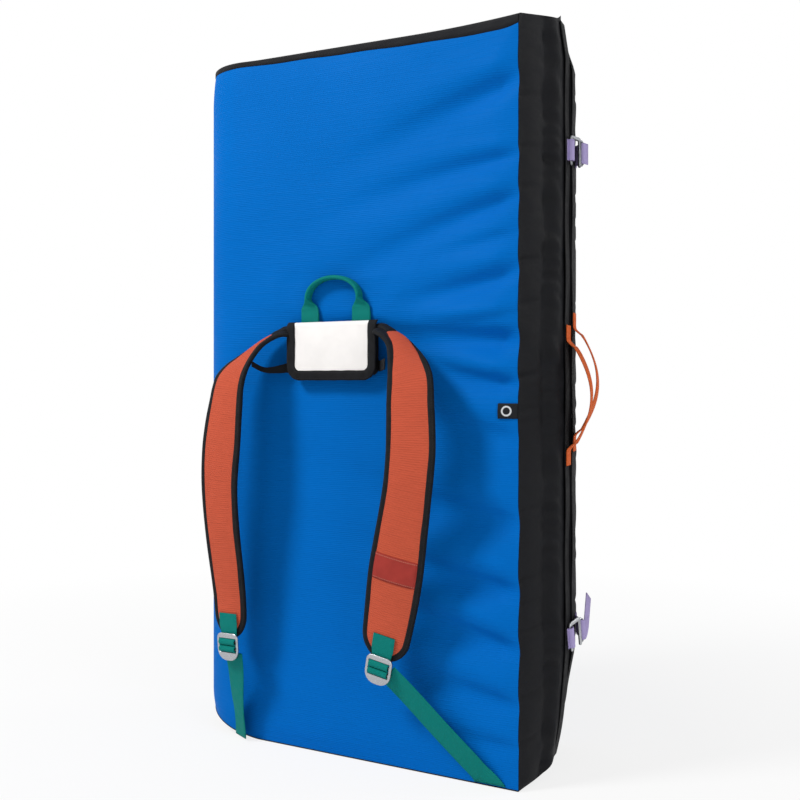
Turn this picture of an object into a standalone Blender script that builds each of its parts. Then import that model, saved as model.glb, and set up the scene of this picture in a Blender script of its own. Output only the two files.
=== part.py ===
"""A bouldering crash pad, folded once and standing on its short side, with its carrying harness.

Metres, +Z up. The fold lies at -X, the open ends at +X and the harness on the face at -Y. The origin
is on the floor, in the middle of the short side that the half with the harness stands on. Every piece
hangs from an empty there. Below that empty, Y is zero in the plane where the two halves meet: a depth
is a distance from that plane, and an offset is a distance off the face that carries the harness.
"""

import math

import bmesh
import bpy
from mathutils import Matrix, Vector

# Pad
HEIGHT = 1.008
HALF_THICKNESS = 0.105
LANDING_GAP = 0.002
FLAT_WIDTH = 0.4535
END_SLANT = 0.033
TOP_SEAM = 0.010
TOP_ROLL = 0.006
BOTTOM_SEAM = 0.0035
BOTTOM_ROLL = 0.002
CLEARANCE = 0.0003

# Cover and foam
FABRIC = 0.0015
CROWN = 0.0035
CROWN_REACH = 0.045
LANDING_PANEL = 0.004
LANDING_FOAM = 0.020
TAPE_WIDTH = 0.025
TAPE = 0.0015
PUCKER_DEPTH = 0.0024
PUCKER_WIDTH = 0.015
PUCKER_REACH = 0.11
CREASE_DEPTH = 0.002
CREASE_WIDTH = 0.012

# Fold
FOLD_SLICES = 3
FACETS_PER_HALF_SLICE = 3
FOLD_TIP = 0.004

# Rows and columns of the cloth panels
PANEL_ROWS = 34
ROLL_SHARES = (0, 0.15, 0.35, 0.65, 1)
COLUMN_SHARES = ROLL_SHARES + (1.5, 2.1, 2.9, 3.9, 5.2)
END_COLUMN_SHARES = (0, 0.05, 0.12, 0.24, 0.40, 0.55, 0.70, 1)

# Webbing
WEBBING = 0.0018
HARNESS_WEBBING_WIDTH = 0.0295
CLOSURE_WEBBING_WIDTH = 0.029

# Yoke and its flap
FLAP_TOP = 0.619
FLAP_HEIGHT = 0.0835
FLAP_HALF_WIDTH = 0.0755
FLAP_OFFSET = 0.013
FLAP_FABRIC = 0.0022
FLAP_BINDING_WIDTH = 0.0115
FLAP_BINDING = 0.0040
FLAP_CORNER = 0.013
YOKE_DROP = 0.006
YOKE_HEIGHT = 0.070
YOKE_SIDE = 0.004
YOKE_FABRIC = 0.0040
UPPER_BAND_HEIGHT = 0.018
UPPER_BAND_DROP = 0.003
LOWER_BAND_HEIGHT = 0.015
LOWER_BAND_TOP = 0.565
BAND_OVERHANG = 0.004

# Grab handle
GRAB_HALF_SPACING = 0.0433
GRAB_TAB_WIDTH = 0.030
GRAB_TAB_TOP = 0.632
GRAB_RISE = 0.0495
GRAB_NECK = 0.019
GRAB_GRIP_DEPTH = 0.015
GRAB_GRIP = 0.0062

# Shoulder straps
STRAP_PAD = 0.010
STRAP_PAD_EDGE = 0.005
BINDING_WIDTH = 0.0095
BINDING = 0.007
STRAP_SPREAD = 0.200
STRAP_STAND_OFF = 0.064
STRAP_DROP = 0.421
STRAP_ROUND = 0.038
STRAP_TOP = 0.607
ROOT_STATIONS = 3
PAD_GROWS_OVER = 5
PATCH = 0.0012
PATCH_WIDTH = 0.050
PATCH_HEIGHT = 0.036
PATCH_UP = 0.112
TAB_UP = 0.0375

# Ladder-lock buckles
BUCKLE_WIDTH = 0.039
BUCKLE_HEIGHT = 0.040
BUCKLE_PLATE = 0.003
BUCKLE_TOP_BAR = 0.0075
BUCKLE_WINDOW_WIDTH = 0.0310
BUCKLE_WINDOW_HEIGHT = 0.0205
BUCKLE_BAR = 0.0046
BUCKLE_OVERLAP = 0.009
BUCKLE_OFFSET = 0.0095
BUCKLE_CORNER = 0.008
BUCKLE_BEVEL = 0.0006
BAR_WRAP = 0.0031
BEHIND_BUCKLE = 0.0034

# Lower webbing
LEFT_ANCHOR_X = -0.170
RIGHT_ANCHOR_X = 0.240
LEFT_TWIST_DEG = 26.0
RIGHT_TWIST_DEG = 0.0

# Side handles
SIDE_HANDLE_WIDTH = 0.0235
SIDE_TAB_LENGTH = 0.026
SIDE_HANDLE_SPAN = 0.128
SIDE_HANDLE_OUT = 0.036
SIDE_HANDLE_FOOT = 0.0105
FRONT_SIDE_HANDLE_Z = 0.515
BACK_SIDE_HANDLE_Z = 0.533

# Closures
UPPER_CLOSURE_Z = 0.847
LOWER_CLOSURE_Z = 0.190
LOWER_CLOSURE_TILT_DEG = 12.0
HOOK_HEIGHT = 0.041
HOOK_SPACING = 0.0225
HOOK_BAR = 0.0052
HOOK_PLATE = 0.003
HOOK_TURN_DEG = 10.5
HOOK_OFFSET = 0.0032
HOOK_SHIFT = 0.0125
HOOK_WRAP = 0.0033
END_BAR = 0.003
END_BAR_SPACING = 0.0077
END_BAR_WRAP = 0.0025
LOOP_LENGTH = 0.0045
LOOP_FOOT = 0.003
STRAP_LENGTH = 0.022
UPPER_TAIL = 0.006
LOWER_TAIL = 0.036
LOWER_TAIL_TURN_DEG = 72.0
UPPER_TAIL_LEAD_DEG = 10.0
LOWER_TAIL_LEAD_DEG = -8.0

# Label
LABEL_WIDTH = 0.026
LABEL_HEIGHT = 0.020
LABEL_Z = 0.495
LABEL = 0.0012

# Each fold of the blue cloth leaves the open end's seam at a share of the height, and runs down or up
# from there by a share of its way along the face.
PUCKER_SHARES = (
    (0.925, -0.42), (0.83, -0.38), (0.765, -0.33), (0.68, -0.36), (0.625, -0.30), (0.535, -0.28),
    (0.43, 0.10), (0.36, 0.24), (0.27, 0.36), (0.185, 0.42), (0.11, 0.45),
)
CREASE_SHARES = (0.95, 0.86, 0.77, 0.68, 0.60, 0.50, 0.41, 0.31, 0.22, 0.13, 0.06)

# A shoulder strap's two edges from its root down: across as a share of the spread, out as a share of
# the stand-off, and down as a share of the drop. The first three values are the inner edge's, the
# last three the outer edge's.
LEFT_STRAP_SHARES = (
    (0.4025, 0.45, 0.014, 0.4025, 0.075, -0.014),
    (0.455, 0.50, 0.029, 0.510, 0.14, 0.007),
    (0.525, 0.62, 0.057, 0.640, 0.22, 0.040),
    (0.570, 0.80, 0.114, 0.790, 0.46, 0.098),
    (0.598, 0.94, 0.183, 0.895, 0.70, 0.150),
    (0.600, 0.98, 0.242, 0.930, 0.83, 0.242),
    (0.615, 1.00, 0.385, 0.970, 0.92, 0.385),
    (0.650, 0.97, 0.527, 0.990, 0.89, 0.527),
    (0.655, 0.88, 0.675, 0.985, 0.80, 0.675),
    (0.645, 0.78, 0.805, 0.965, 0.71, 0.805),
    (0.640, 0.70, 0.910, 0.945, 0.64, 0.910),
    (0.640, 0.67, 0.975, 0.935, 0.62, 0.975),
)
RIGHT_STRAP_SHARES = (
    (0.4025, 0.45, 0.014, 0.4025, 0.075, -0.014),
    (0.455, 0.50, 0.029, 0.510, 0.14, 0.007),
    (0.525, 0.62, 0.057, 0.640, 0.22, 0.040),
    (0.570, 0.80, 0.114, 0.790, 0.46, 0.098),
    (0.598, 0.94, 0.183, 0.895, 0.70, 0.150),
    (0.600, 0.98, 0.242, 0.930, 0.83, 0.242),
    (0.600, 1.00, 0.385, 0.955, 0.92, 0.385),
    (0.570, 0.96, 0.520, 0.920, 0.88, 0.505),
    (0.505, 0.86, 0.655, 0.870, 0.79, 0.625),
    (0.430, 0.76, 0.790, 0.820, 0.70, 0.755),
    (0.385, 0.68, 0.900, 0.765, 0.63, 0.865),
    (0.350, 0.63, 0.992, 0.710, 0.58, 0.972),
)

# Cross-sections, as shares of half the width and half the thickness
PILLOW_CROWN_SHARE = 1.08
PILLOW_SHARES = (
    (1, 0.5), (0.55, 1), (0, PILLOW_CROWN_SHARE), (-0.55, 1),
    (-1, 0.5), (-1, -0.5), (-0.5, -1), (0.5, -1),
)
BINDING_SHARES = (
    (1, 0.45), (0.5, 1), (-0.5, 1), (-1, 0.45),
    (-1, -0.45), (-0.5, -1), (0.5, -1), (1, -0.45),
)
SQUARE_SHARES = ((1, 1), (-1, 1), (-1, -1), (1, -1))

# Where a side handle's tab leaves the tape, bends and meets the grip, as shares of its foot
TAB_BEND_SHARES = ((1.6, 0), (0.8, 0.25), (0.3, 1))

# Where the lower webbing's twist is set, as shares of the way down to the pad
TWIST_SHARES = (0.3, 0.6, 0.9)

# A buckle's lower corners are almost one round lip
BUCKLE_LIP_SHARE = 0.42

SMOOTH_BELOW_DEG = 40.0

OUTER_RADIUS = LANDING_GAP / 2 + HALF_THICKNESS
LANDING_FACE = LANDING_GAP / 2
GROUND_PANEL = FABRIC + CROWN
OPEN_X = (FLAT_WIDTH + OUTER_RADIUS) / 2
FOLD_X = OPEN_X - FLAT_WIDTH
PANEL_INSIDE = OUTER_RADIUS - GROUND_PANEL
LANDING_INSIDE = LANDING_FACE + LANDING_PANEL
SLICE_ANGLE = math.pi / (FOLD_SLICES + 1)
PAD_BOTTOM = BOTTOM_SEAM
PAD_TOP = HEIGHT - TOP_SEAM
FRONT, BACK = -1, 1
LEFT, RIGHT = -1, 1
FACE_TILT = math.atan2(END_SLANT, OUTER_RADIUS - LANDING_FACE)
STAND_DEPTH = (LANDING_FACE + OUTER_RADIUS - CROWN) / 2

BLUE = (0.002, 0.165, 0.62, 1.0)
BLACK = (0.012, 0.013, 0.016, 1.0)
TERRACOTTA = (0.58, 0.095, 0.045, 1.0)
WHITE = (0.90, 0.86, 0.82, 1.0)
GREEN = (0.003, 0.21, 0.17, 1.0)
LILAC = (0.33, 0.27, 0.58, 1.0)
ORANGE = (0.90, 0.14, 0.035, 1.0)
SILVER = (0.55, 0.56, 0.58, 1.0)
FOAM = (0.55, 0.56, 0.55, 1.0)
DENSE_FOAM = (0.10, 0.11, 0.12, 1.0)


def material(name, colour, roughness, metallic=0):
    made = bpy.data.materials.new(name)
    made.use_nodes = True
    shader = made.node_tree.nodes["Principled BSDF"]
    shader.inputs["Base Color"].default_value = colour
    shader.inputs["Roughness"].default_value = roughness
    shader.inputs["Metallic"].default_value = metallic
    made.diffuse_color = colour
    return made


def add_object(name, points, faces, colour, roughness=0.8, metallic=0, flat_within=0):
    """One closed body from points and faces, turned outwards. Faces that lie in one plane become one."""
    mesh = bpy.data.meshes.new(name)
    mesh.from_pydata([Vector(p) for p in points], [], faces)
    grown = bmesh.new()
    grown.from_mesh(mesh)
    if flat_within:
        bmesh.ops.dissolve_limit(
            grown, angle_limit=flat_within, verts=grown.verts[:], edges=grown.edges[:]
        )
    bmesh.ops.recalc_face_normals(grown, faces=grown.faces[:])
    grown.to_mesh(mesh)
    grown.free()
    mesh.shade_smooth()
    mesh.set_sharp_from_angle(angle=math.radians(SMOOTH_BELOW_DEG))
    mesh.materials.append(material(name, colour, roughness, metallic))
    made = bpy.data.objects.new(name, mesh)
    bpy.context.scene.collection.objects.link(made)
    return made


def set_origin(obj, origin):
    obj.data.transform(Matrix.Translation(-Vector(origin)))
    obj.location = origin
    return obj


def hang(name, place, pieces):
    """An empty at a place, with these pieces on it where they are."""
    empty = bpy.data.objects.new(name, None)
    empty.location = place
    bpy.context.scene.collection.objects.link(empty)
    for piece in pieces:
        piece.parent = empty
        piece.matrix_parent_inverse = Matrix.Translation(-Vector(place))
    return empty


def loft(name, levels, colour, **options):
    """Joins closed loops of equally many points, and caps the first and the last."""
    count = len(levels[0])
    points = [p for level in levels for p in level]
    faces = [tuple(range(count))[::-1]]
    for k in range(len(levels) - 1):
        for i in range(count):
            j = (i + 1) % count
            faces.append((k * count + i, k * count + j, (k + 1) * count + j, (k + 1) * count + i))
    last = (len(levels) - 1) * count
    faces.append(tuple(last + i for i in range(count)))
    return add_object(name, points, faces, colour, **options)


def prism(name, outline, bottom, top, colour, **options):
    levels = [[(x, y, z) for x, y in outline] for z in (bottom, top)]
    return loft(name, levels, colour, **options)


def sweep(name, stations, colour, shares=SQUARE_SHARES, **options):
    """A closed tube. A station is (centre, across, half across, out, half out)."""
    levels = [
        [centre + across * (wide * a) + out * (thick * b) for a, b in shares]
        for centre, across, wide, out, thick in stations
    ]
    return loft(name, levels, colour, **options)


def webbing_along(points, across, half_width, last_way=None):
    """Sweep stations for webbing through points, lying across one direction."""
    stations = []
    for i, point in enumerate(points):
        way = points[min(i + 1, len(points) - 1)] - points[max(i - 1, 0)]
        if last_way is not None and i == len(points) - 1:
            way = last_way
        stations.append((point, across, half_width, way.cross(across).normalized(), WEBBING / 2))
    return stations


def ribbon(name, path, thickness, low, high, place, colour, **options):
    """Webbing whose path lies in one plane. place turns (along, out, across) into a point."""
    sides = ([], [])
    for i, here in enumerate(path):
        before, after = Vector(path[max(i - 1, 0)]), Vector(path[min(i + 1, len(path) - 1)])
        along = (after - before).normalized()
        for side, sign in zip(sides, (1, -1)):
            off = sign * thickness / 2
            side.append((here[0] - along.y * off, here[1] + along.x * off))
    outline = sides[0] + sides[1][::-1]
    levels = [[place(a, b, width) for a, b in outline] for width in (low, high)]
    return loft(name, levels, colour, **options)


def arc(centre, radius, start, stop, steps):
    """Points round a centre, with the angles in degrees."""
    turns = [math.radians(start + (stop - start) * k / steps) for k in range(steps + 1)]
    return [(centre[0] + radius * math.cos(t), centre[1] + radius * math.sin(t)) for t in turns]


def rounded_plate_outline(width, height, corner, lower_corner, steps=4):
    """A plate's outline round (0, 0), anticlockwise, with its own radius on the lower corners."""
    w, h = width / 2, height / 2
    points = arc((w - corner, h - corner), corner, 0, 90, steps)
    points += arc((corner - w, h - corner), corner, 90, 180, steps)
    points += arc((lower_corner - w, lower_corner - h), lower_corner, 180, 270, steps)
    points += arc((w - lower_corner, lower_corner - h), lower_corner, 270, 360, steps)
    return points


def plate_with_windows(name, loops, thickness, bevel, matrix, colour):
    """A metal plate from its outline and windows, as one filled curve that lies in local X and Y."""
    curve = bpy.data.curves.new(name, "CURVE")
    curve.dimensions = "2D"
    curve.fill_mode = "BOTH"
    curve.extrude = thickness / 2 - bevel
    curve.bevel_depth = bevel
    curve.bevel_resolution = 0
    curve.offset = -bevel
    for loop in loops:
        spline = curve.splines.new("POLY")
        spline.points.add(len(loop) - 1)
        for point, (x, y) in zip(spline.points, loop):
            point.co = (x, y, 0, 1)
        spline.use_cyclic_u = True
    curve.materials.append(material(name, colour, 0.28, 1))
    made = bpy.data.objects.new(name, curve)
    bpy.context.scene.collection.objects.link(made)
    made.matrix_world = matrix
    return made


def box_loop(left, right, bottom, top):
    return [(left, bottom), (right, bottom), (right, top), (left, top)]


def end_x(depth):
    """Where the slanted end face of a half lies at this depth."""
    share = (OUTER_RADIUS - depth) / (OUTER_RADIUS - LANDING_FACE)
    return OPEN_X + END_SLANT * share


def fold_point(depth, angle, slip=0):
    """A point of the fold. The angle runs from the front half at 0 to the back half at pi."""
    x = FOLD_X - depth * math.sin(angle) - slip * math.cos(angle)
    y = -depth * math.cos(angle) + slip * math.sin(angle)
    return x, y


def fold_angles(start, steps):
    return [start + SLICE_ANGLE / 2 * k / FACETS_PER_HALF_SLICE for k in range(steps + 1)]


def mirrored(points, side):
    """The front half's outline, or the same one turned over for the back half."""
    return points if side == FRONT else [(x, -y) for x, y in points][::-1]


def half_outline(inner, outer, end_inset, side, tip=LANDING_FACE):
    """A half's outline between two depths, with its share of the fold."""
    gap = CLEARANCE / 2
    angles = fold_angles(0, FACETS_PER_HALF_SLICE)
    points = [fold_point(outer, a) for a in angles[:-1]]
    points += [fold_point(outer, angles[-1], -gap), fold_point(max(inner, tip), angles[-1], -gap)]
    if inner > tip:
        points += [fold_point(inner, a) for a in angles[-2::-1]]
    else:
        points += [(FOLD_X, -inner)]
    points += [(end_x(inner) - end_inset, -inner), (end_x(outer) - end_inset, -outer)]
    return mirrored(points, side)


def slice_outline(inner, outer, number):
    """A fold slice's outline, cut back by half a clearance at both of its ends."""
    gap = CLEARANCE / 2
    angles = fold_angles(SLICE_ANGLE * (number - 0.5), 2 * FACETS_PER_HALF_SLICE)
    slips = [gap] + [0] * (len(angles) - 2) + [-gap]
    points = [fold_point(outer, a, s) for a, s in zip(angles, slips)]
    return points + [fold_point(inner, angles[-1], -gap), fold_point(inner, angles[0], gap)]


def edge_drop(distance):
    """How far the cloth lies below its crown, this far from a seam."""
    return CROWN * max(0, 1 - distance / CROWN_REACH) ** 2


def height_stations():
    """Heights of a panel's rows: close together where the crown falls off to the seams."""
    rolls = [CROWN_REACH * share for share in ROLL_SHARES]
    middle = PAD_TOP - PAD_BOTTOM - 2 * CROWN_REACH
    inner = [PAD_BOTTOM + CROWN_REACH + middle * k / PANEL_ROWS for k in range(1, PANEL_ROWS)]
    return [PAD_BOTTOM + r for r in rolls] + inner + [PAD_TOP - r for r in rolls[::-1]]


def pucker(along, z):
    """Depth of the folds that fan out from the open end's seam into the face."""
    depth = 0
    for start_share, run_share in PUCKER_SHARES:
        off = z - HEIGHT * start_share - along * run_share
        depth += math.exp(-((off / PUCKER_WIDTH) ** 2))
    near_seam = min(1, along / CROWN_REACH)
    return PUCKER_DEPTH * min(depth, 1) * near_seam * math.exp(-along / PUCKER_REACH)


def ground_drop(along, z):
    drop = edge_drop(min(z - PAD_BOTTOM, PAD_TOP - z)) + edge_drop(along) + pucker(along, z)
    return min(drop, CROWN)


def sheet(name, columns, rows, thickness, drop, colour):
    """A cloth panel with a plain inside. A column is (outside x, y, inwards x, y, way along)."""
    outside, inside = [], []
    for x, y, inward_x, inward_y, along in columns:
        for z in rows:
            down = drop(along, z)
            outside.append((x + inward_x * down, y + inward_y * down, z))
            inside.append((x + inward_x * thickness, y + inward_y * thickness, z))
    wide, high = len(columns), len(rows)
    count = wide * high
    faces = []
    for i in range(wide - 1):
        for k in range(high - 1):
            a, b, c, d = i * high + k, (i + 1) * high + k, (i + 1) * high + k + 1, i * high + k + 1
            faces += [(a, b, c, d), (count + d, count + c, count + b, count + a)]
    for i in range(wide - 1):
        for k in (0, high - 1):
            a, b = i * high + k, (i + 1) * high + k
            faces.append((a, b, count + b, count + a))
    for k in range(high - 1):
        for i in (0, wide - 1):
            a, b = i * high + k, i * high + k + 1
            faces.append((a, b, count + b, count + a))
    return add_object(name, outside + inside, faces, colour, flat_within=math.radians(0.3))


def ground_panel(name, side):
    """The blue outer panel: its flat part, then the first part of the fold."""
    ways = [CROWN_REACH * share for share in COLUMN_SHARES] + [FLAT_WIDTH]
    columns = [(OPEN_X - way, side * OUTER_RADIUS, 0, -side, way) for way in ways]
    for angle in fold_angles(0, FACETS_PER_HALF_SLICE)[1:]:
        x, y = fold_point(OUTER_RADIUS, angle, -CLEARANCE / 2 if angle >= SLICE_ANGLE / 2 else 0)
        turn = (math.sin(angle), -side * math.cos(angle))
        columns.append((x, -side * y, *turn, FLAT_WIDTH + OUTER_RADIUS * angle))
    return sheet(name, columns, height_stations(), GROUND_PANEL, ground_drop, BLUE)


def fold_cover(name, number):
    angles = fold_angles(SLICE_ANGLE * (number - 0.5), 2 * FACETS_PER_HALF_SLICE)
    columns = []
    for k, angle in enumerate(angles):
        slip = CLEARANCE / 2 * ((k == 0) - (k == len(angles) - 1))
        x, y = fold_point(OUTER_RADIUS, angle, slip)
        columns.append((x, y, math.sin(angle), math.cos(angle), FLAT_WIDTH))
    return sheet(name, columns, height_stations(), GROUND_PANEL, ground_drop, BLUE)


def end_gusset(name, side):
    """The black end panel on the slanted face, with the creases that run in from its outer seam."""
    first, last = PANEL_INSIDE - CLEARANCE, LANDING_INSIDE + CLEARANCE
    columns = []
    for share in END_COLUMN_SHARES:
        depth = first + (last - first) * share
        columns.append((end_x(depth), side * depth, -1, 0, first - depth))

    def drop(along, z):
        depth = edge_drop(along) + edge_drop(min(z - PAD_BOTTOM, PAD_TOP - z))
        for share in CREASE_SHARES:
            near = math.exp(-(((z - HEIGHT * share) / CREASE_WIDTH) ** 2))
            reach = math.sin(math.pi * min(1, along / (HALF_THICKNESS - TAPE_WIDTH - LANDING_FOAM)))
            depth += CREASE_DEPTH * near * max(0, reach)
        return min(depth, CROWN)

    return sheet(name, columns, height_stations(), GROUND_PANEL / math.cos(FACE_TILT), drop, BLACK)


def gusset(name, outline_of, at_top):
    """A top or bottom gusset: its outer edges roll over towards the seams."""
    seam, roll = (TOP_SEAM, TOP_ROLL) if at_top else (BOTTOM_SEAM, BOTTOM_ROLL)
    full, rolled = outline_of(CROWN), outline_of(CROWN + roll)
    levels = [
        [(x, y, HEIGHT - z if at_top else z) for x, y in outline]
        for outline, z in ((rolled, 0), (full, roll), (full, seam - CLEARANCE))
    ]
    return loft(name, levels, BLACK)


def edge_tape(name, side):
    """The webbing that stiffens a half's inner edge, where its handle and closures are sewn."""
    out = Vector((math.cos(FACE_TILT), side * math.sin(FACE_TILT)))
    outline = []
    for depth, offset in ((0, 0), (TAPE_WIDTH, 0), (TAPE_WIDTH, TAPE), (0, TAPE)):
        at = LANDING_FACE + depth
        base = Vector((end_x(at), side * at)) + out * (CLEARANCE + offset)
        outline.append(tuple(base))
    return prism(name, outline, PAD_BOTTOM, PAD_TOP, BLACK)


def half(name, side):
    """One half of the pad, from its cover in to its foam."""
    inset = GROUND_PANEL / math.cos(FACE_TILT) + CLEARANCE
    core = (LANDING_INSIDE + LANDING_FOAM + 2 * CLEARANCE, PANEL_INSIDE - CLEARANCE)
    landing = (LANDING_INSIDE + CLEARANCE, LANDING_INSIDE + CLEARANCE + LANDING_FOAM)
    prism(f"{name}_core_foam", half_outline(*core, inset, side), PAD_BOTTOM, PAD_TOP, FOAM)
    prism(
        f"{name}_landing_foam", half_outline(*landing, inset, side), PAD_BOTTOM, PAD_TOP, DENSE_FOAM
    )
    ground_panel(f"{name}_ground_panel", side)
    outline = mirrored(
        [
            (FOLD_X, -LANDING_INSIDE),
            (FOLD_X, -LANDING_FACE),
            (end_x(LANDING_FACE), -LANDING_FACE),
            (end_x(LANDING_INSIDE), -LANDING_INSIDE),
        ],
        side,
    )
    prism(f"{name}_landing_panel", outline, PAD_BOTTOM, PAD_TOP, BLACK)
    end_gusset(f"{name}_end_gusset", side)
    edge_tape(f"{name}_edge_tape", side)
    for at_top, place in ((True, "top"), (False, "bottom")):
        gusset(
            f"{name}_{place}_gusset",
            lambda roll: half_outline(LANDING_FACE, OUTER_RADIUS - roll, roll, side),
            at_top,
        )


def fold_slice(number):
    """One slice of the fold. It turns about an upright line on the cover, towards the front half."""
    x, y = fold_point(OUTER_RADIUS, SLICE_ANGLE * (number - 0.5))
    pieces = [
        prism(
            f"fold_{number}_foam",
            slice_outline(FOLD_TIP, PANEL_INSIDE - CLEARANCE, number),
            PAD_BOTTOM,
            PAD_TOP,
            FOAM,
        ),
        fold_cover(f"fold_{number}_cover", number),
    ]
    for at_top, place in ((True, "top"), (False, "bottom")):
        pieces.append(
            gusset(
                f"fold_{number}_{place}_gusset",
                lambda roll: slice_outline(FOLD_TIP, OUTER_RADIUS - roll, number),
                at_top,
            )
        )
    for piece in pieces:
        set_origin(piece, (x, y, 0))


def face_y(offset):
    return -OUTER_RADIUS - offset


def on_face(across, offset, up):
    return Vector((across, face_y(offset), up))


def yoke():
    """The black base, the two bands that hold the straps, and the white flap over them."""
    top = FLAP_TOP - YOKE_DROP
    half_width = FLAP_HALF_WIDTH - YOKE_SIDE
    plate = [
        (x, y) for x, y in rounded_plate_outline(2 * half_width, YOKE_HEIGHT, FLAP_CORNER / 2, FLAP_CORNER)
    ]
    middle = top - YOKE_HEIGHT / 2
    front = CLEARANCE + YOKE_FABRIC
    levels = [[on_face(x, o, middle + z) for x, z in plate] for o in (CLEARANCE, front)]
    loft("harness_yoke", levels, BLACK)

    offset = front + CLEARANCE + WEBBING / 2
    reach = RIGHT_STRAP_SHARES[0][0] * STRAP_SPREAD - 2 * CLEARANCE
    band_top = top - UPPER_BAND_DROP
    ribbon(
        "upper_band",
        [(-reach, offset), (reach, offset)],
        WEBBING,
        band_top - UPPER_BAND_HEIGHT,
        band_top,
        on_face,
        BLACK,
    )
    ends = band_ends()
    path = [ends[0], (-half_width - BAND_OVERHANG, offset), (-half_width, offset)]
    path = path + [(half_width, offset), (half_width + BAND_OVERHANG, offset), ends[1]]
    low = LOWER_BAND_TOP - LOWER_BAND_HEIGHT
    ribbon("lower_band", path, WEBBING, low, LOWER_BAND_TOP, on_face, BLACK)


def band_ends():
    """Where the lower band meets the inner edges of the two straps."""
    down = (STRAP_TOP - LOWER_BAND_TOP + LOWER_BAND_HEIGHT / 2) / STRAP_DROP
    ends = []
    for side, shares in ((LEFT, LEFT_STRAP_SHARES), (RIGHT, RIGHT_STRAP_SHARES)):
        before = max((row for row in shares if row[2] <= down), key=lambda row: row[2])
        after = min((row for row in shares if row[2] > down), key=lambda row: row[2])
        part = (down - before[2]) / (after[2] - before[2])
        across = before[0] + (after[0] - before[0]) * part
        out = before[1] + (after[1] - before[1]) * part
        ends.append((side * (across * STRAP_SPREAD - BINDING / 2), out * STRAP_STAND_OFF))
    return ends


def flap():
    """The white flap and its binding. They lift about the flap's seam on the yoke."""
    seat = YOKE_FABRIC + 2 * CLEARANCE
    hinge = (0, face_y(YOKE_FABRIC + CLEARANCE), FLAP_TOP)
    low = FLAP_TOP - FLAP_HEIGHT
    across, out, up = Vector((1, 0, 0)), Vector((0, -1, 0)), Vector((0, 0, 1))
    inset = FLAP_BINDING_WIDTH + CLEARANCE
    half_width, half_thick = FLAP_HALF_WIDTH - inset, FLAP_FABRIC / 2
    front = FLAP_OFFSET + FLAP_BINDING / 2
    roof = FLAP_TOP - half_thick
    mitre = half_thick * math.sqrt(2)
    seam = FLAP_TOP - YOKE_DROP - UPPER_BAND_DROP + CLEARANCE
    stations = [
        (on_face(0, seat + half_thick, seam), across, half_width, -out, half_thick),
        (on_face(0, seat + half_thick, roof), across, half_width, (up - out).normalized(), mitre),
        (on_face(0, front, roof), across, half_width, (up + out).normalized(), mitre),
    ]
    corner = FLAP_CORNER / 2
    for turn in (0, 30, 60, 85):
        sine, cosine = math.sin(math.radians(turn)), math.cos(math.radians(turn))
        level = low + inset + corner * (1 - sine)
        wide = half_width - corner * (1 - cosine)
        stations.append((on_face(0, front, level), across, wide, out, half_thick))
    set_origin(sweep("yoke_flap", stations, WHITE), hinge)

    def outline(inset, corner):
        w, bottom = FLAP_HALF_WIDTH - inset, low + inset
        points = [(-w, FLAP_TOP)]
        points += arc((corner - w, bottom + corner), corner, 180, 270, 4)
        points += arc((w - corner, bottom + corner), corner, 270, 360, 4)
        return points + [(w, FLAP_TOP)]

    border = outline(0, FLAP_CORNER) + outline(FLAP_BINDING_WIDTH, corner)[::-1]
    levels = [
        [on_face(x, o, z) for x, z in border] for o in (FLAP_OFFSET, FLAP_OFFSET + FLAP_BINDING)
    ]
    set_origin(loft("yoke_flap_binding", levels, BLACK), hinge)


def grab_handle():
    """The green handle above the flap. Its grip is folded webbing, its tabs are flat and sewn on."""
    back = CLEARANCE + WEBBING / 2
    for side, name in ((LEFT, "left"), (RIGHT, "right")):
        middle = side * GRAB_HALF_SPACING

        def place(up, off, across, middle=middle):
            return on_face(middle + across, off, up)

        ribbon(
            f"grab_handle_{name}_tab",
            [(FLAP_TOP - YOKE_DROP + CLEARANCE, back), (GRAB_TAB_TOP, back)],
            WEBBING,
            -GRAB_TAB_WIDTH / 2,
            GRAB_TAB_WIDTH / 2,
            place,
            GREEN,
        )
    x, y, z = (Vector(axis) for axis in ((1, 0, 0), (0, -1, 0), (0, 0, 1)))
    foot = GRAB_TAB_TOP + CLEARANCE
    neck = foot + GRAB_NECK
    grip = CLEARANCE + GRAB_GRIP_DEPTH / 2
    shoulder = foot + GRAB_NECK / 3
    stations = [
        (on_face(-GRAB_HALF_SPACING, back, foot), x, GRAB_TAB_WIDTH / 2, y, WEBBING / 2),
        (on_face(-GRAB_HALF_SPACING, back + WEBBING, shoulder), x, GRAB_TAB_WIDTH / 2, y, WEBBING / 2),
    ]
    steps = 14
    for k in range(steps + 1):
        turn = math.pi * k / steps
        radial = x * -math.cos(turn) + z * math.sin(turn)
        centre = on_face(
            -GRAB_HALF_SPACING * math.cos(turn), grip, neck + (GRAB_RISE - GRAB_NECK) * math.sin(turn)
        )
        stations.append((centre, -radial, GRAB_GRIP / 2, y, GRAB_GRIP_DEPTH / 2))
    for height, off in ((shoulder, back + WEBBING), (foot, back)):
        centre = on_face(GRAB_HALF_SPACING, off, height)
        stations.append((centre, -x, GRAB_TAB_WIDTH / 2, y, WEBBING / 2))
    made = sweep("grab_handle", stations, GREEN)
    set_origin(made, (0, face_y(CLEARANCE + WEBBING), foot))


def strap_edges(side, shares):
    """Points along a strap's inner and outer edges, read from smooth curves through its shares."""
    inner, outer = [], []
    for a, b, c, d, e, f in shares:
        for edge, (across, out, down) in ((inner, (a, b, c)), (outer, (d, e, f))):
            edge.append(
                on_face(
                    side * across * STRAP_SPREAD, out * STRAP_STAND_OFF, STRAP_TOP - down * STRAP_DROP
                )
            )
    return smooth(inner), smooth(outer)


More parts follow.
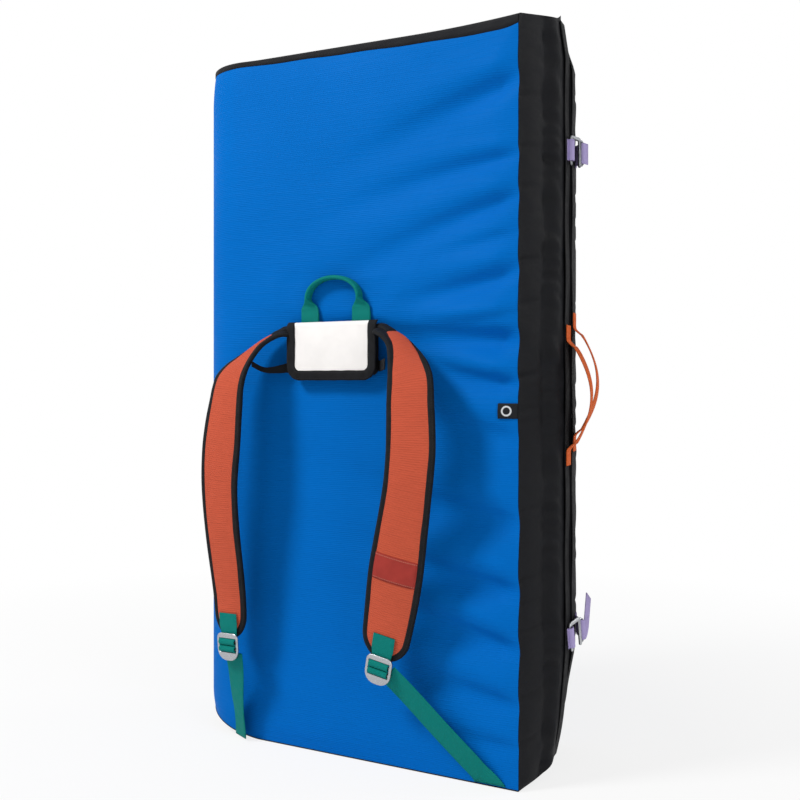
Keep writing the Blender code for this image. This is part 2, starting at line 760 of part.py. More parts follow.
def smooth(points, steps=2):
    """A Catmull-Rom curve through points."""
    made = []
    for i in range(len(points) - 1):
        p0, p1, p2, p3 = (points[min(max(k, 0), len(points) - 1)] for k in range(i - 1, i + 3))
        for s in range(steps):
            t = s / steps
            made.append(
                0.5
                * (
                    2 * p1
                    + (p2 - p0) * t
                    + (2 * p0 - 5 * p1 + 4 * p2 - p3) * t**2
                    + (3 * p1 - p0 - 3 * p2 + p3) * t**3
                )
            )
    return made + [points[-1]]


def strap_frames(side, shares):
    """(centre, across, half width, out) down a strap, with across pointing to +X and out off the pad."""
    inner, outer = strap_edges(side, shares)
    left, right = (outer, inner) if side == LEFT else (inner, outer)
    centres = [(a + b) / 2 for a, b in zip(left, right)]
    frames = []
    for i, centre in enumerate(centres):
        along = (centres[min(i + 1, len(centres) - 1)] - centres[max(i - 1, 0)]).normalized()
        across = right[i] - left[i]
        half_width = across.length / 2
        across = (across - along * across.dot(along)).normalized()
        frames.append((centre, across, half_width, along.cross(across).normalized()))
    return frames


def end_frame(frames):
    """The matrix at a strap's lower end: X across, Y out of its face, Z up along it."""
    centre, across, _, out = frames[-1]
    up = across.cross(out) * -1
    if up.z < 0:
        up = -up
    matrix = Matrix((across, out, up)).transposed().to_4x4()
    matrix.translation = centre
    return matrix


def strap_pad(name, frames):
    """The padded part between the bindings. It starts where the black root ends."""
    stations = []
    rim = BINDING_WIDTH + CLEARANCE
    last = frames[-1]
    for i, (centre, across, half_width, out) in enumerate(frames[ROOT_STATIONS:]):
        grown = min(1, i / PAD_GROWS_OVER)
        thick = (STRAP_PAD_EDGE + (STRAP_PAD - STRAP_PAD_EDGE) * grown) / 2
        stations.append((centre, across, half_width - rim, out, thick))
    down = -end_frame(frames).col[2].xyz
    reach = STRAP_ROUND - rim
    for turn in (20, 40, 58, 74, 84):
        sine, cosine = math.sin(math.radians(turn)), math.cos(math.radians(turn))
        thick = (STRAP_PAD_EDGE + (STRAP_PAD - STRAP_PAD_EDGE) * cosine) / 2
        centre = last[0] + down * (reach * sine)
        stations.append((centre, last[1], (last[2] - rim) * cosine, last[3], thick))
    return sweep(name, stations, TERRACOTTA, PILLOW_SHARES)


def strap_binding(name, frames):
    """The black binding down one edge, round the lower end and up the other edge.

    At the root its two sides meet, apart from a clearance, and cover the strap's whole width.
    """
    centre, across, half_width, out = frames[-1]
    down = -end_frame(frames).col[2].xyz
    rail = []
    for i, (c, a, w, o) in enumerate(frames):
        wide = BINDING_WIDTH if i >= ROOT_STATIONS else w - CLEARANCE / 2
        rail.append((c, a, w, wide, o))
    sides = [
        [(c + a * sign * (w - wide / 2), a * sign, wide / 2, o, BINDING / 2) for c, a, w, wide, o in rail]
        for sign in (LEFT, RIGHT)
    ]
    half_wide = BINDING_WIDTH / 2
    bend = []
    steps = 10
    for k in range(steps + 1):
        turn = math.pi * k / steps
        lead = -across * math.cos(turn) + down * math.sin(turn)
        at = centre - across * ((half_width - half_wide) * math.cos(turn))
        at += down * ((STRAP_ROUND - half_wide) * math.sin(turn))
        bend.append((at, lead, half_wide, out, BINDING / 2))
    return sweep(name, sides[0] + bend + sides[1][::-1], BLACK, BINDING_SHARES)


def buckle_levels():
    """Heights in a strap's end frame of the buckle's middle, its window's top and its inner bars."""
    top = -STRAP_ROUND + BUCKLE_OVERLAP
    window = top - BUCKLE_TOP_BAR
    upper = window - BUCKLE_WINDOW_HEIGHT / 4
    lower = window - BUCKLE_WINDOW_HEIGHT * 3 / 4 + CLEARANCE
    return top - BUCKLE_HEIGHT / 2, window, upper, lower


def buckle(name, matrix):
    """A cast ladder-lock: a frame with two inner bars, and a round lip to lift it by."""
    middle, window, upper, lower = buckle_levels()
    lip = BUCKLE_WIDTH * BUCKLE_LIP_SHARE
    outline = rounded_plate_outline(BUCKLE_WIDTH, BUCKLE_HEIGHT, BUCKLE_CORNER, lip, 6)
    half_window, half_bar = BUCKLE_WINDOW_WIDTH / 2, BUCKLE_BAR / 2
    bottom = window - BUCKLE_WINDOW_HEIGHT
    cuts = [
        (upper + half_bar, window),
        (lower + half_bar, upper - half_bar),
        (bottom, lower - half_bar),
    ]
    loops = [outline]
    loops += [box_loop(-half_window, half_window, a - middle, b - middle) for a, b in cuts]
    turn = Matrix(((1, 0, 0, 0), (0, 0, 1, BUCKLE_OFFSET), (0, 1, 0, middle), (0, 0, 0, 1)))
    return plate_with_windows(name, loops, BUCKLE_PLATE, BUCKLE_BEVEL, matrix @ turn, SILVER)


def strap_tab(name, matrix):
    """The green tab sewn to the strap's end. It passes behind the buckle's frame and wraps a bar."""
    _, window, upper, _ = buckle_levels()
    radius = BAR_WRAP + WEBBING / 2
    face = STRAP_PAD / 2 * PILLOW_CROWN_SHARE + CLEARANCE + WEBBING / 2
    behind = BUCKLE_OFFSET - BEHIND_BUCKLE
    path = [(TAB_UP - STRAP_ROUND, face), (-STRAP_ROUND / 2, face)]
    path += [(window + BUCKLE_TOP_BAR, behind), (window, behind)]
    path += arc((upper, BUCKLE_OFFSET), radius, -30, 235, 9)

    def place(up, off, across):
        return matrix @ Vector((across, off, up))

    half_width = HARNESS_WEBBING_WIDTH / 2
    return ribbon(name, path, WEBBING, -half_width, half_width, place, GREEN)


def lower_webbing(name, matrix, anchor_x, twist):
    """The green webbing from the buckle's lower bar down to the pad's bottom seam."""
    _, window, _, lower = buckle_levels()
    across, out, up = (matrix.col[k].xyz for k in range(3))
    half_width, half_thick = HARNESS_WEBBING_WIDTH / 2, WEBBING / 2
    radius = BAR_WRAP + half_thick
    behind = BUCKLE_OFFSET - BEHIND_BUCKLE
    under = window - BUCKLE_WINDOW_HEIGHT - WEBBING / 2
    path = arc((lower, BUCKLE_OFFSET), radius, -50, 180, 7)
    path += [(lower - radius, behind + half_thick), (under, behind)]
    points = [matrix @ Vector((0, off, level)) for level, off in path]
    stations = webbing_along(points, across, half_width, -up)

    seat = CLEARANCE + half_thick - CROWN + half_width * math.sin(math.radians(twist))
    anchor = on_face(anchor_x, seat, PAD_BOTTOM)
    start = points[-1]
    side = RIGHT if (anchor - start).dot(across) > 0 else LEFT
    corner = start + across * (side * half_width)
    way = anchor - corner
    turn = math.atan2(abs(way.dot(across)), -way.dot(up))
    for share in (0.5, 1):
        lead = -up * math.cos(turn * share) + across * (side * math.sin(turn * share))
        now = across * math.cos(turn * share) + up * (side * math.sin(turn * share))
        stations.append((corner - now * (side * half_width), now, half_width, lead.cross(now), half_thick))
    start, now = stations[-1][:2]
    along = (anchor - start).normalized()
    level = Vector((1, 0, 0))
    for share in TWIST_SHARES:
        wide = now.lerp(level, max(0, share - 0.5))
        wide = (wide - along * wide.dot(along)).normalized()
        wide = Matrix.Rotation(math.radians(twist) * share, 3, along) @ wide
        stations.append((start.lerp(anchor, share), wide, half_width, along.cross(wide), half_thick))
    cut_width = half_width / math.sqrt(1 - along.x**2)
    wide = Matrix.Rotation(-math.radians(twist), 3, "Z") @ level
    stations.append((anchor, wide, cut_width, along.cross(wide).normalized(), half_thick))
    return sweep(name, stations, GREEN)


def shoulder_strap(name, side, shares, anchor_x, twist):
    """One shoulder strap with its buckle. It swings about the line between its two sewn ends."""
    frames = strap_frames(side, shares)
    matrix = end_frame(frames)
    pieces = [
        strap_pad(f"{name}_strap_pad", frames),
        strap_binding(f"{name}_strap_binding", frames),
        strap_tab(f"{name}_strap_tab", matrix),
        buckle(f"{name}_buckle", matrix),
        lower_webbing(f"{name}_lower_webbing", matrix, anchor_x, twist),
    ]
    if side == RIGHT:
        pieces.append(strap_patch(frames))
    hang(f"{name}_strap_swing", frames[0][0], pieces)


def strap_patch(frames):
    """The sewn patch on the right strap."""
    matrix = end_frame(frames)
    face = STRAP_PAD / 2 * PILLOW_CROWN_SHARE + CLEARANCE
    low, high = PATCH_UP - STRAP_ROUND, PATCH_UP - STRAP_ROUND + PATCH_HEIGHT
    centre = min(frames, key=lambda f: abs((matrix.inverted() @ f[0]).z - (low + high) / 2))
    turn = Matrix((centre[1], centre[3], centre[1].cross(centre[3]))).transposed().to_4x4()
    turn.translation = centre[0]
    half_width, half_height = PATCH_WIDTH / 2, PATCH_HEIGHT / 2
    loop = box_loop(-half_width, half_width, -half_height, half_height)
    levels = [[turn @ Vector((x, off, z)) for x, z in loop] for off in (face, face + PATCH)]
    return loft("right_strap_patch", levels, TERRACOTTA)


def face_frame(side, depth):
    """The matrix of a half's slanted end face: X along it to +Y, Y out of it, Z up."""
    out = Vector((math.cos(FACE_TILT), side * math.sin(FACE_TILT), 0))
    along = Vector((-out.y, out.x, 0))
    matrix = Matrix((along, out, Vector((0, 0, 1)))).transposed().to_4x4()
    matrix.translation = Vector((end_x(depth), side * depth, 0))
    return matrix


def side_handle(name, side, middle):
    """An orange side handle: two sewn tabs, and the grip that turns about an upright line."""
    matrix = face_frame(side, LANDING_FACE + TAPE_WIDTH / 2)
    flat = TAPE + 2 * CLEARANCE + WEBBING / 2
    half_span, half_width = SIDE_HANDLE_SPAN / 2, SIDE_HANDLE_WIDTH / 2

    def place(up, off, along):
        return matrix @ Vector((along, off, up))

    for sign, end in ((1, "upper"), (-1, "lower")):
        far = half_span + SIDE_TAB_LENGTH + 2 * SIDE_HANDLE_FOOT
        path = [(middle + sign * far, flat)]
        for along, off in TAB_BEND_SHARES:
            here = half_span + along * SIDE_HANDLE_FOOT
            path.append((middle + sign * here, flat + off * SIDE_HANDLE_FOOT))
        path.append((middle + sign * (half_span + CLEARANCE), flat + SIDE_HANDLE_FOOT))
        ribbon(f"{name}_{end}_tab", path, WEBBING, -half_width, half_width, place, ORANGE)
    steps = 14
    path = []
    for k in range(steps + 1):
        share = -1 + 2 * k / steps
        bulge = math.cos(share * math.pi / 2) ** 0.9 if abs(share) < 1 else 0
        off = flat + SIDE_HANDLE_FOOT + (SIDE_HANDLE_OUT - SIDE_HANDLE_FOOT) * bulge
        path.append((middle + share * half_span, off))
    lead = SIDE_HANDLE_FOOT / 4
    path.insert(1, (path[0][0] + lead, path[0][1]))
    path.insert(-1, (path[-1][0] - lead, path[-1][1]))
    grip = ribbon(f"{name}_grip", path, WEBBING, -half_width, half_width, place, ORANGE)
    set_origin(grip, matrix @ Vector((0, flat + SIDE_HANDLE_FOOT, middle)))


def hook_loops():
    """A metal hook's outline and slot. Two bars and a bridge make the hook, and a third bar the slot."""
    half_bar, half_height = HOOK_BAR / 2, HOOK_HEIGHT / 2
    reach = HOOK_SPACING / 2
    inner, outer = reach - half_bar, reach + half_bar
    tip, shoulder = half_bar - half_height, half_height - HOOK_BAR
    slot = CLOSURE_WEBBING_WIDTH / 2 + CLEARANCE
    end = reach + END_BAR_SPACING
    edge, frame = end + END_BAR / 2, slot + END_BAR
    points = arc((reach, tip), half_bar, 180, 360, 6)
    points += [(outer, -frame), (edge - END_BAR, -frame), (edge, END_BAR - frame)]
    points += [(edge, frame - END_BAR), (edge - END_BAR, frame), (outer, frame)]
    points += arc((outer - HOOK_BAR, shoulder), HOOK_BAR, 20, 90, 3)
    points += arc((HOOK_BAR - outer, shoulder), HOOK_BAR, 90, 180, 3)
    points += arc((-reach, tip), half_bar, 180, 360, 6)
    points += [(-inner, shoulder), (inner, shoulder)]
    return [points, box_loop(outer, end - END_BAR / 2, -slot, slot)]


def closure(name, height, tilt, tail, tail_lead, tail_turn):
    """A closure: the front half's loop and the back half's strap, joined by a metal hook."""
    out_x = end_x(LANDING_FACE) + (TAPE + CLEARANCE) / math.cos(FACE_TILT)
    base = Matrix.Translation((out_x, 0, height)) @ Matrix.Rotation(math.radians(tilt), 4, "X")
    turn = math.radians(HOOK_TURN_DEG)
    along_hook = Vector((math.cos(turn), math.sin(turn)))
    front_bar = Vector((-HOOK_SHIFT, HOOK_OFFSET))
    end_bar = front_bar + along_hook * (HOOK_SPACING + END_BAR_SPACING)
    slope = math.tan(FACE_TILT)
    half_width = CLOSURE_WEBBING_WIDTH / 2
    lean = half_width * math.sin(math.radians(tilt))
    lift = (WEBBING / 2 + CLEARANCE) / math.cos(FACE_TILT) + slope * lean

    def place(along, off, up):
        return base @ Vector((off, along, up))

    def on_tape(along):
        return along, lift - slope * abs(along) * math.cos(math.radians(tilt))

    radius = HOOK_WRAP + WEBBING / 2
    path = [on_tape(front_bar.x - reach) for reach in (LOOP_LENGTH + LOOP_FOOT, LOOP_LENGTH)]
    path += arc(front_bar, radius, 205, -25, 9)
    path += [on_tape(front_bar.x + reach) for reach in (LOOP_LENGTH, LOOP_LENGTH + LOOP_FOOT)]
    ribbon(f"{name}_closure_loop", path, WEBBING, -half_width, half_width, place, LILAC)

    radius = END_BAR_WRAP + WEBBING / 2
    path = [on_tape(end_bar.x + STRAP_LENGTH), on_tape(end_bar.x + STRAP_LENGTH / 2)]
    path += arc(end_bar, radius, -60, -270, 7)
    upright = base.col[2].xyz
    tail_lead = math.radians(tail_lead)
    lead = base.to_3x3() @ Vector((math.sin(tail_lead), math.cos(tail_lead), 0))
    stations = webbing_along([place(*p, 0) for p in path], upright, half_width)
    pivot = half_width + WEBBING
    corner = stations[-1][0] + lead * WEBBING + upright * pivot
    for share in (0, 0.34, 0.67, 1) if tail_turn else (0,):
        bend = math.radians(tail_turn) * share
        now = upright * math.cos(bend) - lead * math.sin(bend)
        way = lead * math.cos(bend) + upright * math.sin(bend)
        stations.append((corner - now * pivot, now, half_width, way.cross(now), WEBBING / 2))
    stations.append((stations[-1][0] + way * tail, *stations[-1][1:]))
    sweep(f"{name}_closure_strap", stations, LILAC)

    centre = front_bar + along_hook * (HOOK_SPACING / 2)
    across = Vector((math.sin(turn), math.cos(turn), 0))
    facing = Vector((math.cos(turn), -math.sin(turn), 0))
    frame = Matrix((across, Vector((0, 0, 1)), facing)).transposed().to_4x4()
    frame.translation = (centre.y, centre.x, 0)
    hook = plate_with_windows(
        f"{name}_closure_hook", hook_loops(), HOOK_PLATE, BUCKLE_BEVEL, base @ frame, SILVER
    )
    hang(f"{name}_hook_hinge", place(*end_bar, 0), [hook])


def side_label():
    """The small black tag sewn into the seam between the blue face and the open end."""
    right = OPEN_X
    loop = box_loop(right - LABEL_WIDTH, right, LABEL_Z - LABEL_HEIGHT / 2, LABEL_Z + LABEL_HEIGHT / 2)
    levels = [[on_face(x, off, z) for x, z in loop] for off in (CLEARANCE, CLEARANCE + LABEL)]
    return loft("side_label", levels, BLACK)


def build():
    for old in list(bpy.data.objects):
        bpy.data.objects.remove(old, do_unlink=True)
    half("front", FRONT)
    half("back", BACK)
    for number in range(1, FOLD_SLICES + 1):
        fold_slice(number)
    yoke()
    flap()
    grab_handle()
    shoulder_strap("left", LEFT, LEFT_STRAP_SHARES, LEFT_ANCHOR_X, LEFT_TWIST_DEG)
    shoulder_strap("right", RIGHT, RIGHT_STRAP_SHARES, RIGHT_ANCHOR_X, RIGHT_TWIST_DEG)
    side_handle("front_side_handle", FRONT, FRONT_SIDE_HANDLE_Z)
    side_handle("back_side_handle", BACK, BACK_SIDE_HANDLE_Z)
    closure("upper", UPPER_CLOSURE_Z, 0, UPPER_TAIL, UPPER_TAIL_LEAD_DEG, 0)
    closure(
        "lower",
        LOWER_CLOSURE_Z,
        LOWER_CLOSURE_TILT_DEG,
        LOWER_TAIL,
        LOWER_TAIL_LEAD_DEG,
        LOWER_TAIL_TURN_DEG,
    )
    side_label()
    stand = hang("crash_pad", (0, STAND_DEPTH, 0), [])
    for made in bpy.data.objects:
        if made.parent is None and made is not stand:
            made.parent = stand


build()
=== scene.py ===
"""The looks of a folded bouldering crash pad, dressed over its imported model.

Metres, +Z up, in the model's frame. A way is a distance along the cover from the front half's open
end, round the fold and on to the back half's. A depth is a distance in from the cover.
"""

import math

import bmesh
import bpy
import numpy as np
from mathutils import Matrix, Vector


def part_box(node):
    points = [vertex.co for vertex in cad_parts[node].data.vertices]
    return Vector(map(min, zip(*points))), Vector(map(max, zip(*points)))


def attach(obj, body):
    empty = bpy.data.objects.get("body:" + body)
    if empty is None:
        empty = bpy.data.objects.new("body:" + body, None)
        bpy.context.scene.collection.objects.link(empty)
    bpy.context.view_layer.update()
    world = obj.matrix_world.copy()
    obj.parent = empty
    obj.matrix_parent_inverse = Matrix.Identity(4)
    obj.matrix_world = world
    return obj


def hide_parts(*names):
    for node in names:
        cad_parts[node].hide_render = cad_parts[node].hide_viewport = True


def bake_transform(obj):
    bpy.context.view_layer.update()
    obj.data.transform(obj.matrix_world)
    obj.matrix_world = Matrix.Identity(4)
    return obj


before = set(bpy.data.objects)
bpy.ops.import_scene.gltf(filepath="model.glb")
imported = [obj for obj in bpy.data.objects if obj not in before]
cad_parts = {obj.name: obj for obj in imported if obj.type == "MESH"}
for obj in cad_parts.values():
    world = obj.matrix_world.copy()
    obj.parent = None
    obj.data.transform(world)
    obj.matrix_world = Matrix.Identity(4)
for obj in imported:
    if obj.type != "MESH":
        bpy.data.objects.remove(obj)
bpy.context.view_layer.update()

# The pad, read from the frame
FACE_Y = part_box("front_ground_panel")[0].y
BACK_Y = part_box("back_ground_panel")[1].y
MIDDLE_Y = (FACE_Y + BACK_Y) / 2
RADIUS = (BACK_Y - FACE_Y) / 2
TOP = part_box("front_top_gusset")[1].z
OPEN_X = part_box("front_ground_panel")[1].x
FOLD_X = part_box("fold_2_cover")[0].x + RADIUS
FLAT = OPEN_X - FOLD_X
LANDING = 0.001
INNER_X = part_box("front_landing_panel")[1].x
SLANT = math.atan2(INNER_X - OPEN_X, RADIUS - LANDING)
ALL_ROUND = 2 * FLAT + math.pi * RADIUS

# Seams and sag of the cover
STEP = 0.004
TOP_SEAM = 0.0165
TOP_SEAM_SLOPE = 0.0085
TOP_ROLL = 0.006
BOTTOM_SEAM = 0.0016
BOTTOM_ROLL = 0.0008
CROWN = 0.0035
CROWN_REACH = 0.045
TUCK = 0.006
SEAM_PROUD = 0.0007
SEAM_WAVE = 0.0004
GUSSET_SLACK = 0.0012
GUSSET_WAVE = 0.0010
CORNER_RISE = 0.0050
CORNER_REACH = 0.030
FOLD_LIFT = 0.030
FOLD_RISE = 0.006
TOP_SLOPE = 0.008
FOLD_LEAD = 0.035
FOLD_FADE = 0.15
EAR = 0.006
EAR_REACH = 0.035
EAR_START = 0.075
EAR_SLOPE = 0.018

# The open end: its corners are drawn in and up, and its front half rolls in at the middle
SKEW_REACH = 0.20
END_REACH = 0.16
LOW_REACH = 0.168
FRONT_LOW_PULL = 0.023
BACK_LOW_PULL = 0.029
TOP_REACH = 0.045
FRONT_TOP_PULL = 0.010
BACK_TOP_PULL = 0.014
LIFT_REACH = 0.12
LOW_LIFT = 0.024
TOP_LIFT = 0.019
BACK_TOP_LIFT = 0.002
ROLL_IN = 0.004
ROLL_SHARE = 0.74
FRONT_BULGE = 0.008
BACK_BULGE = 0.0025
TAPE_WIDTH = 0.025
TAPE = 0.0015
TAPE_MIDDLE = LANDING + TAPE_WIDTH / 2

# Wrinkles of the face: height at the open end, rise per metre of way, bend, half width at the open
# end and its growth, amplitude, and the way on which they fade.
WRINKLES = (
    (0.941, -0.22, -0.3, 0.014, 0.06, 0.0086, 0.19),
    (0.838, -0.06, -0.35, 0.009, 0.05, 0.0056, 0.22),
    (0.786, -0.19, -0.4, 0.011, 0.06, 0.0069, 0.24),
    (0.735, -0.16, 0, 0.008, 0.03, 0.0025, 0.12),
    (0.690, -0.24, 0.3, 0.012, 0.05, 0.0078, 0.19),
    (0.628, -0.1, 0, 0.007, 0.03, 0.0033, 0.1),
    (0.605, 0.02, 0.2, 0.017, 0.04, 0.0129, 0.26),
    (0.541, 0.06, 1.3, 0.011, 0.06, 0.0099, 0.15),
    (0.470, 0.2, 0.6, 0.013, 0.05, 0.0039, 0.13),
    (0.362, 0.18, 0.3, 0.017, 0.07, 0.0078, 0.22),
    (0.272, 0.16, 0.4, 0.015, 0.06, 0.0091, 0.21),
    (0.195, 0.24, 0.3, 0.015, 0.06, 0.0091, 0.2),
    (0.120, 0.2, 0.2, 0.013, 0.05, 0.006, 0.14),
    (0.062, 0.12, 0, 0.009, 0.04, 0.003, 0.09),
)
# Wide soft hollows of the face: way, height, half size along each, and depth.
HOLLOWS = (
    (0.375, 0.38, 0.034, 0.17, 0.0038),
    (0.080, 0.45, 0.050, 0.035, 0.0030),
    (0.245, 0.30, 0.040, 0.15, 0.0020),
    (0.180, 0.14, 0.050, 0.060, 0.0020),
)
SHALLOW_WAVE = 0.0006
RIDGE_SHARE = 0.65
GROOVE_SHARE = 1.25
# Creases that run from the seam into the black end: height and depth.
END_CREASES = (
    (0.690, 0.0026), (0.634, 0.0020), (0.538, 0.0028), (0.494, 0.0016), (0.478, 0.0018),
    (0.905, 0.0014), (0.838, 0.0014), (0.786, 0.0014), (0.362, 0.0018), (0.272, 0.0024),
    (0.240, 0.0018), (0.205, 0.0020), (0.120, 0.0016), (0.062, 0.0014),
)
CREASE_WIDTH = 0.0045

# Webbing and the pieces that hold it
CLEARANCE = 0.0003
WEBBING = 0.0018
HARNESS_WIDTH = 0.0295
LOOSE_WIDTH = 0.0330
CLOSURE_WIDTH = 0.029
SIDE_HANDLE_WIDTH = 0.0235

# Yoke, bands and flap
FLAP_TOP = 0.619
FLAP_HEIGHT = 0.0835
FLAP_HALF_WIDTH = 0.0755
FLAP_OFFSET = 0.013
FLAP_BINDING_WIDTH = 0.0140
FLAP_BINDING = 0.0050
FLAP_CORNER = 0.022
FLAP_SWELL = 0.0016
FLAP_STEP = 0.012
HARNESS_Z = 0.600
HARNESS_HALF_WIDTH = 0.075
HARNESS_HALF_HEIGHT = 0.078
HARNESS_FADE = 0.035
YOKE_FABRIC = 0.004
YOKE_DROP = 0.006
YOKE_HEIGHT = 0.070
YOKE_INSET = 0.004
YOKE_CORNER = 0.006
UPPER_BAND_DROP = 0.003
UPPER_BAND_HEIGHT = 0.018
LOWER_BAND_TOP = 0.565
LOWER_BAND_HEIGHT = 0.015
BAND_SAG = 0.007

# Grab handle
GRAB_HALF_SPACING = 0.0433
GRAB_TAB_WIDTH = 0.030
GRAB_TAB_TOP = 0.632
GRAB_RISE = 0.0495
GRAB_NECK = 0.019
GRAB_GRIP_DEPTH = 0.015
GRAB_GRIP = 0.0062

# Shoulder straps
STRAP_PAD = 0.010
STRAP_PAD_EDGE = 0.0052
BINDING_WIDTH = 0.0105
BINDING = 0.007
STRAP_SPREAD = 0.200
STRAP_STAND_OFF = 0.064
STRAP_DROP = 0.421
STRAP_ROUND = 0.038
STRAP_TOP = 0.607
ROOT_STATIONS = 5
TUCKED_STATIONS = 4
PATCH_HEIGHT = 0.036
PATCH_UP = 0.112
PATCH = 0.0008
TAB_UP = 0.0375
# The strap's edges from its root down. Each row has the inner edge's place across, out and down, as
# shares of the spread, stand-off and drop, and then the outer edge's.
UPPER_STRAP_SHARES = (
    (0.340, 0.15, 0.020, 0.340, 0.090, -0.012),
    (0.4025, 0.40, 0.018, 0.4025, 0.075, -0.014),
    (0.455, 0.50, 0.029, 0.510, 0.14, 0.007),
    (0.525, 0.62, 0.057, 0.640, 0.22, 0.040),
    (0.570, 0.80, 0.114, 0.790, 0.46, 0.098),
    (0.598, 0.94, 0.183, 0.895, 0.70, 0.150),
    (0.600, 0.98, 0.242, 0.930, 0.83, 0.242),
)
LEFT_STRAP_SHARES = UPPER_STRAP_SHARES + (
    (0.615, 1.00, 0.385, 0.970, 0.92, 0.385),
    (0.650, 0.97, 0.527, 0.990, 0.89, 0.527),
    (0.655, 0.88, 0.675, 0.985, 0.80, 0.675),
    (0.645, 0.78, 0.805, 0.965, 0.71, 0.805),
    (0.640, 0.70, 0.910, 0.945, 0.64, 0.910),
    (0.640, 0.67, 0.975, 0.935, 0.62, 0.975),
)
RIGHT_STRAP_SHARES = UPPER_STRAP_SHARES + (
    (0.600, 1.00, 0.385, 0.955, 0.92, 0.385),
    (0.570, 0.96, 0.520, 0.920, 0.88, 0.505),
    (0.505, 0.86, 0.655, 0.870, 0.79, 0.625),
    (0.430, 0.76, 0.790, 0.820, 0.70, 0.755),
    (0.385, 0.68, 0.900, 0.765, 0.63, 0.865),
    (0.350, 0.63, 0.992, 0.710, 0.58, 0.972),
)

# Buckles and lower webbing
BUCKLE_TOP_BAR = 0.0075
BUCKLE_WINDOW_HEIGHT = 0.0205
BUCKLE_OVERLAP = 0.009
BUCKLE_OFFSET = 0.0095
BAR_WRAP = 0.0031
BEHIND_BUCKLE = 0.0034
ANCHOR_UP = 0.0035
LEFT_ANCHOR_X = -0.167
RIGHT_ANCHOR_X = 0.240
LEFT_TWIST_DEG = 26.0
LEFT_LEAD = (0.005, -0.010)
RIGHT_LEAD = (0.0125, -0.004)
WEBBING_SAG = 0.002

# Side handles
SIDE_TAB_LENGTH = 0.0205
SIDE_HANDLE_SPAN = 0.128
SIDE_HANDLE_OUT = 0.0315
SIDE_HANDLE_FOOT = 0.0105
FRONT_SIDE_HANDLE_Z = 0.515
BACK_SIDE_HANDLE_Z = 0.533
TAB_BEND_SHARES = ((1.3, 0), (0.85, 0.10), (0.42, 0.50))
FRONT_HANDLE_TWISTS_DEG = (12.0, -2.0)
BACK_HANDLE_TWISTS_DEG = (-9.0, 9.0)

# Closures
UPPER_CLOSURE_Z = 0.847
LOWER_CLOSURE_Z = 0.190
LOWER_CLOSURE_TILT_DEG = 12.0
HOOK_SPACING = 0.0225
HOOK_TURN_DEG = 10.5
HOOK_OFFSET = 0.0032
HOOK_SHIFT = 0.0125
HOOK_WRAP = 0.0033
END_BAR_SPACING = 0.0077
END_BAR_WRAP = 0.0025
LOOP_LENGTH = 0.0045
LOOP_FOOT = 0.003
CLOSURE_LENGTH = 0.022
UPPER_TAIL = 0.006
LOWER_TAIL = 0.036
LOWER_TAIL_TURN_DEG = 50.0
UPPER_TAIL_LEAD_DEG = 10.0
LOWER_TAIL_LEAD_DEG = -8.0

# Label
LABEL_WIDTH = 0.026
LABEL_HEIGHT = 0.020
LABEL_Z = 0.495
LABEL = 0.0012

# Camera, lamps and background
CAMERA_PLACE = (0.844, -1.34525, 0.529)
CAMERA_TURN_DEG = 29.8
LENS = 48.6
SENSOR = 36.0
SHIFT_UP = -0.01875
# Name, place, aim, size and power
LAMPS = (
    ("key", (-1.55, -1.95, 2.8), (0, 0, 0.5), 0.9, 84),
    ("fill", (2.6, -1.2, 1.2), (0, 0, 0.5), 1.6, 20),
    ("rim", (2.0, 1.6, 1.8), (0.2, 0, 0.5), 1.2, 10),
)
AMBIENT = 0.33
FLOOR_COLOUR = (0.93, 0.93, 0.93, 1)
FLOOR_GLOW = 0.80
FLOOR_FADE = (0.5, 1.6)

FRONT, BACK = -1, 1
LEFT, RIGHT = -1, 1
ACROSS = Vector((1, 0, 0))
OUT = Vector((0, -1, 0))
UP = Vector((0, 0, 1))


def eased(x, power):
    return math.copysign(abs(x) ** power, x)


def pillow(share):
    """The height of a strap's padding across it, as a share of half its thickness."""
    return 1.08 - 0.52 * np.abs(share) ** 2.4


# Cross-sections, as shares of half the width and half the thickness
WEBBING_HALF = (
    (1, 0), (0.97, 0.75), (0.90, 1), (0.5, 0.92), (0, 0.98), (-0.5, 0.92), (-0.90, 1), (-0.97, 0.75),
)
WEBBING_PROFILE = WEBBING_HALF + tuple((-a, -b) for a, b in WEBBING_HALF)
ROUND_PROFILE = tuple(
    (eased(math.cos(t), 0.7), eased(math.sin(t), 0.8)) for t in (2 * math.pi * k / 20 for k in range(20))
)
PILLOW_SHARES = (1, 0.9, 0.75, 0.55, 0.3, 0, -0.3, -0.55, -0.75, -0.9, -1)
PILLOW_PROFILE = tuple((side * a, side * pillow(a)) for side in (1, -1) for a in PILLOW_SHARES)


def clamp(x):
    return np.clip(x, 0, 1)


def nearness(distance, reach):
    """1 at no distance, falling evenly to 0 at the reach and beyond."""
    return clamp(1 - distance / reach)


def smoothstep(x):
    x = clamp(x)
    return x * x * (3 - 2 * x)


def spread(start, end, step):
    """Evenly spaced numbers from start to end, about a step apart."""
    return np.linspace(start, end, max(2, int(round(abs(end - start) / step)) + 1))


def link(obj):
    bpy.context.scene.collection.objects.link(obj)
    return obj


